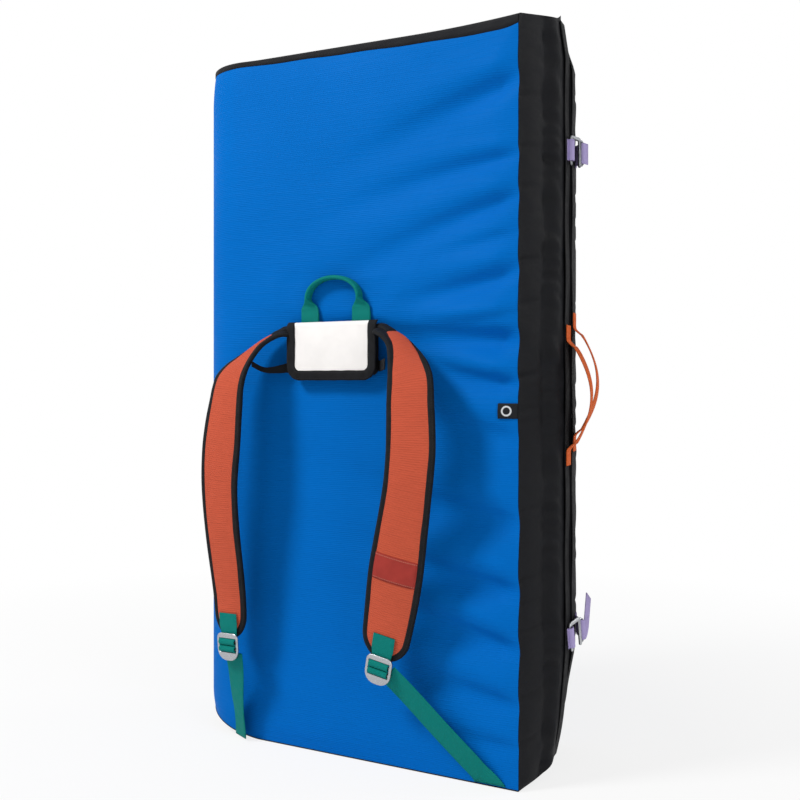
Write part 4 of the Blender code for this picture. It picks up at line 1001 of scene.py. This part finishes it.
def yoke():
    """The black base behind the flap, and the two bands that hold the straps."""
    top = FLAP_TOP - YOKE_DROP
    half_width = FLAP_HALF_WIDTH - YOKE_INSET
    stations = []
    for share in (0, 0.04, 0.12, 0.5, 0.88, 0.96, 1):
        narrow = YOKE_CORNER * max(0, abs(share - 0.5) * 2 - 0.85) / 0.15
        centre = on_face(0, CLEARANCE + YOKE_FABRIC / 2, top - YOKE_HEIGHT * share)
        stations.append((centre, ACROSS, half_width - narrow, OUT, YOKE_FABRIC / 2))
    ribbon("yoke_base", stations, 3, YOKE_CLOTH, "front_half", "harness_yoke")

    offset = YOKE_FABRIC + 2 * CLEARANCE + WEBBING / 2
    reach = UPPER_STRAP_SHARES[0][0] * STRAP_SPREAD - 2 * CLEARANCE
    height = top - UPPER_BAND_DROP - UPPER_BAND_HEIGHT / 2
    places = [on_face(x, offset, height) for x in spread(-reach, reach, 0.02)]
    stations = [(place, UP, UPPER_BAND_HEIGHT / 2, OUT, WEBBING / 2) for place in places]
    ribbon("upper_strap_band", stations, 2, BLACK_WEBBING, "front_half", "upper_band")

    left, right = band_ends()
    middle = LOWER_BAND_TOP - LOWER_BAND_HEIGHT / 2
    places = [(*left, 0.25), (left[0] * 0.86 - half_width * 0.14, (left[1] + offset) * 0.42, -1)]
    places += [(-half_width - 0.004, offset, -0.4), (-half_width * 0.9, offset, 0), (0, offset, 0)]
    places += [(half_width * 0.9, offset, 0), (half_width + 0.004, offset, -0.3), (*right, 0)]
    stations = []
    for i, (x, out, sag) in enumerate(places):
        narrow = 0.55 if i < 2 else 1
        centre = on_face(x, out, middle + BAND_SAG * sag)
        stations.append((centre, UP, LOWER_BAND_HEIGHT / 2 * narrow, OUT, WEBBING / 2))
    ribbon("lower_strap_band", stations, 6, BLACK_WEBBING, "front_half", "lower_band")


def band_ends():
    """Where the lower band meets the inner edges of the two straps."""
    down = (STRAP_TOP - LOWER_BAND_TOP + LOWER_BAND_HEIGHT / 2) / STRAP_DROP
    rows = np.array(UPPER_STRAP_SHARES[1:])
    across = np.interp(down, rows[:, 2], rows[:, 0]) * STRAP_SPREAD - BINDING / 2
    out = np.interp(down, rows[:, 2], rows[:, 1]) * STRAP_STAND_OFF
    return (-across, out), (across, out)


def flap():
    """The white flap over the straps' roots, a little stuffed, in its black binding."""
    low = FLAP_TOP - FLAP_HEIGHT
    inset = FLAP_BINDING_WIDTH * 0.86
    half_width = FLAP_HALF_WIDTH - inset
    front = FLAP_OFFSET + 0.0016
    seat = YOKE_FABRIC + 2 * CLEARANCE
    path = [(seat + 0.0010, FLAP_TOP - 0.0085), (seat + 0.0014, FLAP_TOP - 0.002), (front * 0.55, FLAP_TOP)]
    path += [(front - 0.0022, FLAP_TOP - 0.0006), (front, FLAP_TOP - 0.004)]
    path += [(front, z) for z in spread(FLAP_TOP - 0.009, low + inset, 0.0045)]
    path = smooth(path, 3)
    along = lengths(path)
    a, share = np.meshgrid(np.arange(len(path)), np.linspace(-1, 1, 40), indexing="ij")
    out, z = path[a, 0], path[a, 1]
    down = clamp((FLAP_TOP - z) / (FLAP_HEIGHT - inset))
    corner = clamp((down - 0.88) / 0.12)
    wide = half_width - FLAP_CORNER * 0.4 * (1 - np.sqrt(1 - corner**2))
    swell = FLAP_SWELL * (1 - share**4) * np.sin(clamp(down * 1.1) * math.pi)
    swell = swell + 0.0004 * np.sin(share * 5 + down * 7)
    points = np.stack([wide * share, FACE_Y - out - swell, z], -1)
    made = panel("flap_panel", points, wide * share, along[a])
    dress(made, WHITE, "yoke_flap", "yoke_flap")
    binding = flap_binding(low)


def flap_binding(low):
    """The binding down the flap's sides and along its bottom, soft and a little uneven."""
    middle = FLAP_HALF_WIDTH - FLAP_BINDING_WIDTH / 2
    corner = FLAP_CORNER - FLAP_BINDING_WIDTH / 2
    bottom = low + FLAP_BINDING_WIDTH / 2
    heights = [FLAP_TOP + 0.0005, *spread(FLAP_TOP - 0.006, bottom + corner, FLAP_STEP)]
    route = [(-middle, z) for z in heights]
    route += arc((corner - middle, bottom + corner), corner, 198, 270, 5)
    route += [(x, bottom) for x in spread(corner - middle, middle - corner, FLAP_STEP)[1:-1]]
    route += arc((middle - corner, bottom + corner), corner, 270, 342, 5)
    route += [(middle, z) for z in heights[::-1]]
    stations = []
    for i, (x, z) in enumerate(route):
        before, after = neighbours(route, i)
        way = Vector((after[0] - before[0], 0, after[1] - before[1])).normalized()
        bulge = 1 + 0.10 * math.sin(i * 1.9)
        top = smoothstep((FLAP_TOP - z) / 0.006)
        off = FLAP_OFFSET + 0.0020 - 0.0050 * (1 - float(top))
        half_wide = FLAP_BINDING_WIDTH / 2 * (1 + 0.03 * math.sin(i * 2.7))
        stations.append((on_face(x, off, z), way.cross(OUT), half_wide, OUT, FLAP_BINDING / 2 * bulge))
    made = sweep("flap_edge_binding", stations, ROUND_PROFILE, 3)
    return dress(made, FLAP_TAPE, "yoke_flap", "yoke_flap_binding")


def gather(side, back, foot):
    """Stations from one of the grab handle's tabs up to the neck of its grip."""
    over = back + WEBBING + CLEARANCE / 2
    below = (FLAP_TOP - 0.002 - foot) / GRAB_NECK
    leads = ((below, over, 1, WEBBING), (below / 2, over, 1, WEBBING), (0.1, over, 1, WEBBING))
    leads += ((0.35, over + 0.0004, 0.97, 0.0024), (0.6, over + WEBBING / 2, 0.76, 0.0036))
    stations = []
    for rise, off, wide, thick in leads:
        centre = on_face(side * GRAB_HALF_SPACING, off, foot + GRAB_NECK * rise)
        stations.append((centre, ACROSS * -side, GRAB_TAB_WIDTH / 2 * wide, OUT, thick / 2))
    return stations


def grab_handle():
    """The green handle: flat sewn tabs that gather into a folded grip."""
    back = CLEARANCE + WEBBING / 2
    levels = spread(FLAP_TOP - 0.004, GRAB_TAB_TOP, 0.005)
    for side, name in ((LEFT, "left"), (RIGHT, "right")):
        places = [on_face(side * GRAB_HALF_SPACING, back, z) for z in levels]
        stations = webbing_stations(places, ACROSS, GRAB_TAB_WIDTH / 2)
        ribbon(f"grab_{name}_tab", stations, 2, GREEN, "front_half", f"grab_handle_{name}_tab")
    foot = GRAB_TAB_TOP + CLEARANCE
    arch = []
    steps = 16
    for k in range(steps + 1):
        turn = math.pi * k / steps
        radial = ACROSS * -math.cos(turn) + UP * math.sin(turn)
        rise = foot + GRAB_NECK + (GRAB_RISE - GRAB_NECK) * math.sin(turn) ** 0.9
        centre = on_face(-GRAB_HALF_SPACING * math.cos(turn), CLEARANCE + GRAB_GRIP_DEPTH / 2, rise)
        arch.append((centre, -radial, GRAB_GRIP / 2, OUT, GRAB_GRIP_DEPTH / 2))
    stations = gather(LEFT, back, foot) + arch + gather(RIGHT, back, foot)[::-1]
    made = sweep("grab_grip", stations, ROUND_PROFILE, 5)
    ends = [tuple(on_face(0, back, foot + up)) for up in (-0.004, 0.006)]
    dress(made, GREEN, ("front_half", "grab_handle", *ends), "grab_handle")


def strap_frames(side, shares):
    """(centre, across, half width, out) down a strap, with across pointing to +X."""
    rows = smooth(shares, 2)

    def edge(columns):
        places = columns * (side * STRAP_SPREAD, STRAP_STAND_OFF, -STRAP_DROP)
        return [on_face(x, out, STRAP_TOP + up) for x, out, up in places]

    inner, outer = edge(rows[:, :3]), edge(rows[:, 3:])
    left, right = (outer, inner) if side == LEFT else (inner, outer)
    centres = [(a + b) / 2 for a, b in zip(left, right)]
    frames = []
    for i, centre in enumerate(centres):
        before, after = neighbours(centres, i)
        along = (after - before).normalized()
        across = right[i] - left[i]
        half_width = across.length / 2
        across = (across - along * across.dot(along)).normalized()
        frames.append((centre, across, half_width, along.cross(across).normalized()))
    return frames


def end_frame(frames):
    """The matrix at a strap's lower end: X across, Y out of its face, Z up along it."""
    centre, across, _, out = frames[-1]
    matrix = Matrix((across, out, out.cross(across) * -1)).transposed().to_4x4()
    if matrix.col[2].z < 0:
        matrix.col[2] = -matrix.col[2]
    matrix.translation = centre
    return matrix


def strap_pad(name, side, frames):
    """The padded cloth between the bindings, out to the bare outer edge near its root."""
    rim = BINDING_WIDTH * 0.6
    bare_rim = (rim - 0.002) / 2
    swell = STRAP_PAD - STRAP_PAD_EDGE
    stations = []
    for i, (centre, across, half_width, out) in enumerate(frames[ROOT_STATIONS - 1:]):
        bare = bare_rim * float(smoothstep(1 - (i - 1) / TUCKED_STATIONS))
        thick = STRAP_PAD_EDGE + swell * min(1, i / 5)
        stations.append((centre + across * (side * bare), across, half_width - rim + bare, out, thick / 2))
    centre, across, half_width, out = frames[-1]
    down = -end_frame(frames).col[2].xyz
    for turn in map(math.radians, (20, 40, 58, 74, 84)):
        at = centre + down * ((STRAP_ROUND - rim) * math.sin(turn))
        thick = STRAP_PAD_EDGE + swell * math.cos(turn)
        stations.append((at, across, (half_width - rim) * math.cos(turn), out, thick / 2))
    return sweep(f"{name}_padding", stations, PILLOW_PROFILE, 5)


def strap_binding(name, side, frames):
    """The binding down one edge, round the lower end and up the other edge."""
    centre, across, half_width, out = frames[-1]
    down = -end_frame(frames).col[2].xyz
    sides = []
    for sign in (LEFT, RIGHT):
        rail = []
        for i, (c, a, w, o) in enumerate(frames):
            wide, back = BINDING_WIDTH, 0.0
            if i < ROOT_STATIONS:
                wide = w - CLEARANCE / 2
            elif sign == side:
                hidden = float(smoothstep(1 - (i - ROOT_STATIONS) / TUCKED_STATIONS))
                wide = BINDING_WIDTH * (1 - 0.5 * hidden)
                back = 0.0036 * hidden
            wobble = 1 + 0.05 * math.sin(i * 2.1 + sign)
            place = c + a * (sign * (w - wide / 2)) - o * back
            rail.append((place, a * sign, wide / 2, o, BINDING / 2 * wobble))
        sides.append(rail)
    half_wide = BINDING_WIDTH / 2
    around = []
    steps = 12
    for k in range(steps + 1):
        turn = math.pi * k / steps
        lead = -across * math.cos(turn) + down * math.sin(turn)
        at = centre - across * ((half_width - half_wide) * math.cos(turn))
        at = at + down * ((STRAP_ROUND - half_wide) * math.sin(turn))
        around.append((at, lead, half_wide, out, BINDING / 2))
    stations = sides[0][:-1] + around + sides[1][:-1][::-1]
    return sweep(f"{name}_edging", stations, ROUND_PROFILE, 4)


def buckle_levels():
    """Heights in a strap's end frame of the window's top and of the two inner bars."""
    window = BUCKLE_OVERLAP - STRAP_ROUND - BUCKLE_TOP_BAR
    return window, window - BUCKLE_WINDOW_HEIGHT / 4, window - BUCKLE_WINDOW_HEIGHT * 3 / 4 + CLEARANCE


def tab_stations(matrix):
    """The green tab sewn to the strap's end, round the buckle's upper bar."""
    window, upper, _ = buckle_levels()
    face = STRAP_PAD * 0.54 + CLEARANCE + WEBBING / 2
    behind = BUCKLE_OFFSET - BEHIND_BUCKLE
    path = [(TAB_UP - STRAP_ROUND, face), (-STRAP_ROUND * 0.25, face), (-STRAP_ROUND / 2, face)]
    path += [(window + BUCKLE_TOP_BAR, behind), (window, behind)]
    path += arc((upper, BUCKLE_OFFSET), BAR_WRAP + WEBBING / 2, -30, 235, 9)
    points = [matrix @ Vector((0, off, up)) for up, off in path]
    stations = webbing_stations(points, matrix.col[0].xyz, HARNESS_WIDTH / 2)
    loose = [(c, a, LOOSE_WIDTH / 2, o, t) for c, a, _, o, t in stations[:3]]
    return loose + stations[3:]


def loop_stations(matrix):
    """The end of the lower webbing, round the buckle's lower bar."""
    window, _, lower = buckle_levels()
    radius = BAR_WRAP + WEBBING / 2
    behind = BUCKLE_OFFSET - BEHIND_BUCKLE + WEBBING / 2
    path = arc((lower, BUCKLE_OFFSET), radius, -50, 180, 7)
    path += [(lower - radius, behind), (window - BUCKLE_WINDOW_HEIGHT, behind - WEBBING / 2)]
    points = [matrix @ Vector((0, off, level)) for level, off in path]
    return webbing_stations(points, matrix.col[0].xyz, HARNESS_WIDTH / 2)


def adjuster_stations(matrix, anchor_x, twist, lead):
    """The green webbing from behind the buckle down to the pad's bottom seam."""
    across = matrix.col[0].xyz
    half_width, half_thick = LOOSE_WIDTH / 2, WEBBING / 2
    middle = buckle_levels()[0] - BUCKLE_WINDOW_HEIGHT / 2
    behind = BUCKLE_OFFSET - BEHIND_BUCKLE - half_thick - 2 * CLEARANCE
    start = matrix @ Vector((lead[0], behind, middle + lead[1]))
    seat = CLEARANCE + half_thick - CROWN + half_width * math.sin(math.radians(twist))
    anchor = on_face(anchor_x, seat, ANCHOR_UP)
    along = (anchor - start).normalized()
    stations = []
    for k in range(11):
        share = k / 10
        wide = across.lerp(ACROSS, max(0, share - 0.5))
        wide = (wide - along * wide.dot(along)).normalized()
        wide = Matrix.Rotation(math.radians(twist) * min(1, share * 1.4), 3, along) @ wide
        sag = WEBBING_SAG * math.sin(math.pi * share)
        centre = start.lerp(anchor, share) - OUT * (sag * (1 - share))
        wander = across * (0.0008 * math.sin(share * 9))
        stations.append((centre + wander, wide, half_width, along.cross(wide), half_thick))
    cut_width = half_width / math.sqrt(1 - along.x**2)
    wide = Matrix.Rotation(-math.radians(twist), 3, "Z") @ ACROSS
    stations[-1] = (anchor, wide, cut_width, along.cross(wide).normalized(), half_thick)
    return stations


def patch(frames):
    """The bare patch on the right strap, curved over the padding."""
    to_end = end_frame(frames).inverted()
    middle = PATCH_UP - STRAP_ROUND + PATCH_HEIGHT / 2
    heights = [(to_end @ f[0]).z for f in frames]
    known = np.array([[*c, *a, w, *o] for c, a, w, o in frames])
    rows = []
    for level in spread(middle + PATCH_HEIGHT / 2, middle - PATCH_HEIGHT / 2, 0.004):
        k = max(i for i, h in enumerate(heights) if h >= level)
        part = (heights[k] - level) / (heights[k] - heights[k + 1])
        rows.append(known[k] + (known[k + 1] - known[k]) * part)
    rows = np.array(rows)
    shares = np.linspace(-1, 1, 17)
    wide = (rows[:, 6:7] - BINDING_WIDTH * 0.75) * shares
    lift = (STRAP_PAD / 2 + 0.0006) * pillow(shares) + 0.0005
    points = rows[:, None, 0:3] + rows[:, None, 3:6] * wide[:, :, None]
    points = points + rows[:, None, 7:10] * lift[:, None]
    along = lengths(rows[:, :3])
    made = panel("woven_patch", points, wide, np.repeat(along[:, None], len(shares), 1))
    made.modifiers.new("thickness", "SOLIDIFY").thickness = PATCH
    finish = (patch_cloth(float(along[-1]) / 2), "strap_terracotta")
    dress(made, finish, "right_strap", "right_strap_patch")


def shoulder_strap(name, side, shares, anchor_x, twist, lead):
    frames = strap_frames(side, shares)
    matrix = end_frame(frames)
    body = f"{name}_strap"
    made = dress(strap_pad(name, side, frames), TERRACOTTA, body, f"{body}_pad")
    dress(strap_binding(name, side, frames), BINDING_TAPE, body, f"{body}_binding")
    ribbon(f"{name}_buckle_tab", tab_stations(matrix), 3, GREEN, body, f"{body}_tab")
    ribbon(f"{name}_adjuster_loop", loop_stations(matrix), 3, GREEN, body)
    buckle, seam = matrix @ Vector((0, 0, buckle_levels()[0])), on_face(anchor_x, 0, ANCHOR_UP)
    slack = (body, "front_half", tuple(buckle), tuple(seam))
    stations = adjuster_stations(matrix, anchor_x, twist, lead)
    ribbon(f"{name}_adjuster", stations, 4, GREEN, slack, f"{name}_lower_webbing")
    if side == RIGHT:
        patch(frames)


def end_share(inside):
    """The share of an open end at this distance from the middle of the pad."""
    return 1 - (inside - LANDING) / (RADIUS - LANDING - CROWN)


def face_matrix(side, inside):
    """The matrix of a half's end, this far from the middle: X along it to +Y, Y out of it, Z up."""
    share = end_share(inside)
    x, y, _ = end_point(share, side, TOP / 2)
    near_x, near_y, _ = end_point(share + 0.01, side, TOP / 2)
    along = Vector((near_x - x, near_y - y, 0)).normalized() * -side
    matrix = Matrix((along, Vector((along.y, -along.x, 0)), UP)).transposed().to_4x4()
    matrix.translation = Vector((x, y, 0))
    return matrix


def side_handle(half, side, middle, twists):
    """An orange side handle: its two sewn tabs and the grip between them."""
    matrix = face_matrix(side, TAPE_MIDDLE)
    flat = TAPE + 2 * CLEARANCE + WEBBING / 2
    half_span, half_width = SIDE_HANDLE_SPAN / 2, SIDE_HANDLE_WIDTH / 2

    def strip(path):
        points = [matrix @ Vector((0, off, up)) for up, off in path]
        return webbing_stations(points, matrix.col[0].xyz, half_width)

    for sign, end in ((1, "upper"), (-1, "lower")):
        far = half_span + SIDE_TAB_LENGTH + SIDE_HANDLE_FOOT
        path = [(middle + sign * far, flat), (middle + sign * (far - SIDE_TAB_LENGTH / 2), flat)]
        for along, off in TAB_BEND_SHARES:
            here = half_span + along * SIDE_HANDLE_FOOT
            path.append((middle + sign * here, flat + off * SIDE_HANDLE_FOOT))
        path.append((middle + sign * (half_span + CLEARANCE), flat + SIDE_HANDLE_FOOT))
        sewn = f"{half}_side_handle_{end}_tab"
        ribbon(f"{half}_handle_{end}_end", strip(path), 4, ORANGE, f"{half}_half", sewn)
    steps = 20
    path = []
    for k in range(steps + 1):
        share = -1 + 2 * k / steps
        bulge = math.cos(share * math.pi / 2) ** 0.9 if 0 < k < steps else 0
        off = flat + SIDE_HANDLE_FOOT + (SIDE_HANDLE_OUT - SIDE_HANDLE_FOOT) * bulge
        path.append((middle + share * half_span, off))
    stations = []
    for k, (centre, across, wide, out, thick) in enumerate(strip(path)):
        twist = twists[0] + (twists[1] - twists[0]) * k / steps
        lean = math.radians(twist) * math.sin(math.pi * k / steps) ** 0.7
        turned = Matrix.Rotation(lean, 3, across.cross(out))
        stations.append((centre, turned @ across, wide, turned @ out, thick))
    handle = f"{half}_side_handle"
    ribbon(f"{half}_handle_loop", stations, 4, ORANGE, handle, f"{handle}_grip")


def closure(name, height, tilt, tail, tail_lead, tail_turn):
    """A closure's two pieces of webbing, round the bars of its metal hook."""
    out_x = INNER_X + (TAPE + CLEARANCE) / math.cos(SLANT)
    base = Matrix.Translation((out_x, MIDDLE_Y, height)) @ Matrix.Rotation(math.radians(tilt), 4, "X")
    turn = math.radians(HOOK_TURN_DEG)
    front_bar = Vector((-HOOK_SHIFT, HOOK_OFFSET))
    end_bar = front_bar + Vector((math.cos(turn), math.sin(turn))) * (HOOK_SPACING + END_BAR_SPACING)
    half_width = CLOSURE_WIDTH / 2
    lean = math.tan(SLANT) * half_width * math.sin(math.radians(tilt))
    upright = base.col[2].xyz

    def strip(path):
        points = [base @ Vector((off, along, 0)) for along, off in path]
        return webbing_stations(points, upright, half_width)

    def on_tape(along):
        inside = max(abs(along) * math.cos(math.radians(tilt)), LANDING)
        x = end_point(end_share(inside), FRONT if along < 0 else BACK, TOP / 2)[0]
        return along, float(x) - out_x + (TAPE + WEBBING / 2 + 2 * CLEARANCE) / math.cos(SLANT) + lean

    path = [on_tape(front_bar.x - reach) for reach in (LOOP_LENGTH + LOOP_FOOT, LOOP_LENGTH)]
    path += arc(front_bar, HOOK_WRAP + WEBBING / 2, 205, -25, 9)
    path += [on_tape(front_bar.x + reach) for reach in (LOOP_LENGTH, LOOP_LENGTH + LOOP_FOOT)]
    ribbon(f"{name}_loop", strip(path), 4, LILAC, "front_half", f"{name}_closure_loop")

    path = [on_tape(end_bar.x + CLOSURE_LENGTH * part) for part in (1, 0.75, 0.5)]
    path += arc(end_bar, END_BAR_WRAP + WEBBING / 2, -60, -270, 7)
    stations = strip(path)
    tail_lead = math.radians(tail_lead)
    lead = base.to_3x3() @ Vector((math.sin(tail_lead), math.cos(tail_lead), 0))
    pivot = half_width + WEBBING
    corner = stations[-1][0] + lead * WEBBING + upright * pivot
    for share in (0, 0.25, 0.5, 0.75, 1) if tail_turn else (0,):
        turned = math.radians(tail_turn) * share
        now = upright * math.cos(turned) - lead * math.sin(turned)
        way = lead * math.cos(turned) + upright * math.sin(turned)
        stations.append((corner - now * pivot, now, half_width, way.cross(now), WEBBING / 2))
    stations.append((stations[-1][0] + way * tail, *stations[-1][1:]))
    ribbon(f"{name}_strap_and_tail", stations, 4, LILAC, "back_half", f"{name}_closure_strap")


def metalwork():
    """The cast pieces keep their own form, with their edges eased."""
    finishes = {
        "left_buckle": BRIGHT_METAL,
        "right_buckle": BRIGHT_METAL,
        # The upper hook takes the darker copy of the metal, painted shade
        "upper_closure_hook": SHADED_METAL,
        "lower_closure_hook": BRIGHT_METAL,
    }
    for node, finish in finishes.items():
        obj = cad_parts[node]
        obj.data.materials.clear()
        obj.data.materials.append(finish)
        weld = obj.modifiers.new("weld", "WELD")
        weld.merge_threshold = 0.00002
        edge = obj.modifiers.new("eased", "BEVEL")
        edge.width = 0.0005
        edge.segments = 2
        edge.limit_method = "ANGLE"
        obj.data.shade_smooth()


def harness():
    yoke()
    flap()
    grab_handle()
    shoulder_strap("left", LEFT, LEFT_STRAP_SHARES, LEFT_ANCHOR_X, LEFT_TWIST_DEG, LEFT_LEAD)
    shoulder_strap("right", RIGHT, RIGHT_STRAP_SHARES, RIGHT_ANCHOR_X, 0, RIGHT_LEAD)


def closures_and_handles():
    side_handle("front", FRONT, FRONT_SIDE_HANDLE_Z, FRONT_HANDLE_TWISTS_DEG)
    side_handle("back", BACK, BACK_SIDE_HANDLE_Z, BACK_HANDLE_TWISTS_DEG)
    closure("upper", UPPER_CLOSURE_Z, 0, UPPER_TAIL, UPPER_TAIL_LEAD_DEG, 0)
    tail = (LOWER_TAIL, LOWER_TAIL_LEAD_DEG, LOWER_TAIL_TURN_DEG)
    closure("lower", LOWER_CLOSURE_Z, LOWER_CLOSURE_TILT_DEG, *tail)


def camera():
    data = bpy.data.cameras.new("camera")
    data.lens = LENS
    data.sensor_width = SENSOR
    data.shift_y = SHIFT_UP
    made = link(bpy.data.objects.new("camera", data))
    made.location = CAMERA_PLACE
    made.rotation_euler = (math.pi / 2, 0, math.radians(CAMERA_TURN_DEG))
    bpy.context.scene.camera = made


def lamp(name, place, aim, size, power):
    data = bpy.data.lights.new(name, "AREA")
    data.shape = "DISK"
    data.size = size
    data.energy = power
    made = link(bpy.data.objects.new(name, data))
    made.location = place
    made.rotation_euler = (Vector(aim) - Vector(place)).to_track_quat("-Z", "Y").to_euler()


def seen_rays(tree):
    """1 for rays from the camera, and for those that a shiny or clear surface sends on."""
    rays = shader_node(tree, "ShaderNodeLightPath").outputs
    total = rays["Is Camera Ray"]
    for name in ("Is Glossy Ray", "Is Transmission Ray"):
        both = shader_node(tree, "ShaderNodeMath", {"operation": "MAXIMUM"}, i0=total, i1=rays[name])
        total = both.outputs[0]
    return total


def background():
    """White where it is seen, and a soft light on the pad."""
    world = bpy.data.worlds.new("studio")
    world.use_nodes = True
    tree = world.node_tree
    back = tree.nodes["Background"].inputs
    back["Color"].default_value = (1, 1, 1, 1)
    strength = shader_node(tree, "ShaderNodeMapRange", i0=seen_rays(tree), i3=AMBIENT, i4=1.0)
    tree.links.new(strength.outputs[0], back["Strength"])
    bpy.context.scene.world = world


def floor_cloth():
    """Pale where it takes the pad's shadow, fading to white away from it."""
    cloth = bpy.data.materials.new("floor")
    cloth.use_nodes = True
    tree = cloth.node_tree
    surface = tree.nodes["Principled BSDF"]
    surface.inputs["Base Color"].default_value = FLOOR_COLOUR
    surface.inputs["Roughness"].default_value = 0.9
    place = shader_node(tree, "ShaderNodeTexCoord").outputs["Object"]
    away = shader_node(tree, "ShaderNodeVectorMath", {"operation": "LENGTH"}, i0=place).outputs["Value"]
    near, far = FLOOR_FADE
    white = shader_node(tree, "ShaderNodeMapRange", i0=away, i1=near, i2=far, i3=FLOOR_GLOW, i4=1.0)
    seen = seen_rays(tree)
    share = shader_node(tree, "ShaderNodeMath", {"operation": "MULTIPLY"}, i0=seen, i1=white.outputs[0])
    glow = shader_node(tree, "ShaderNodeEmission")
    both = shader_node(
        tree, "ShaderNodeMixShader", i0=share.outputs[0], i1=surface.outputs[0], i2=glow.outputs[0]
    )
    tree.links.new(both.outputs[0], tree.nodes["Material Output"].inputs["Surface"])
    return cloth


def floor():
    mesh = bpy.data.meshes.new("floor")
    mesh.from_pydata([(-9, -9, 0), (9, -9, 0), (9, 9, 0), (-9, 9, 0)], [], [(0, 1, 2, 3)])
    mesh.materials.append(floor_cloth())
    made = link(bpy.data.objects.new("floor", mesh))
    made.location.z = -0.0005


pad()
label()
harness()
closures_and_handles()
metalwork()
camera()
background()
floor()
for row in LAMPS:
    lamp(*row)
bpy.context.scene.view_settings.view_transform = "Standard"
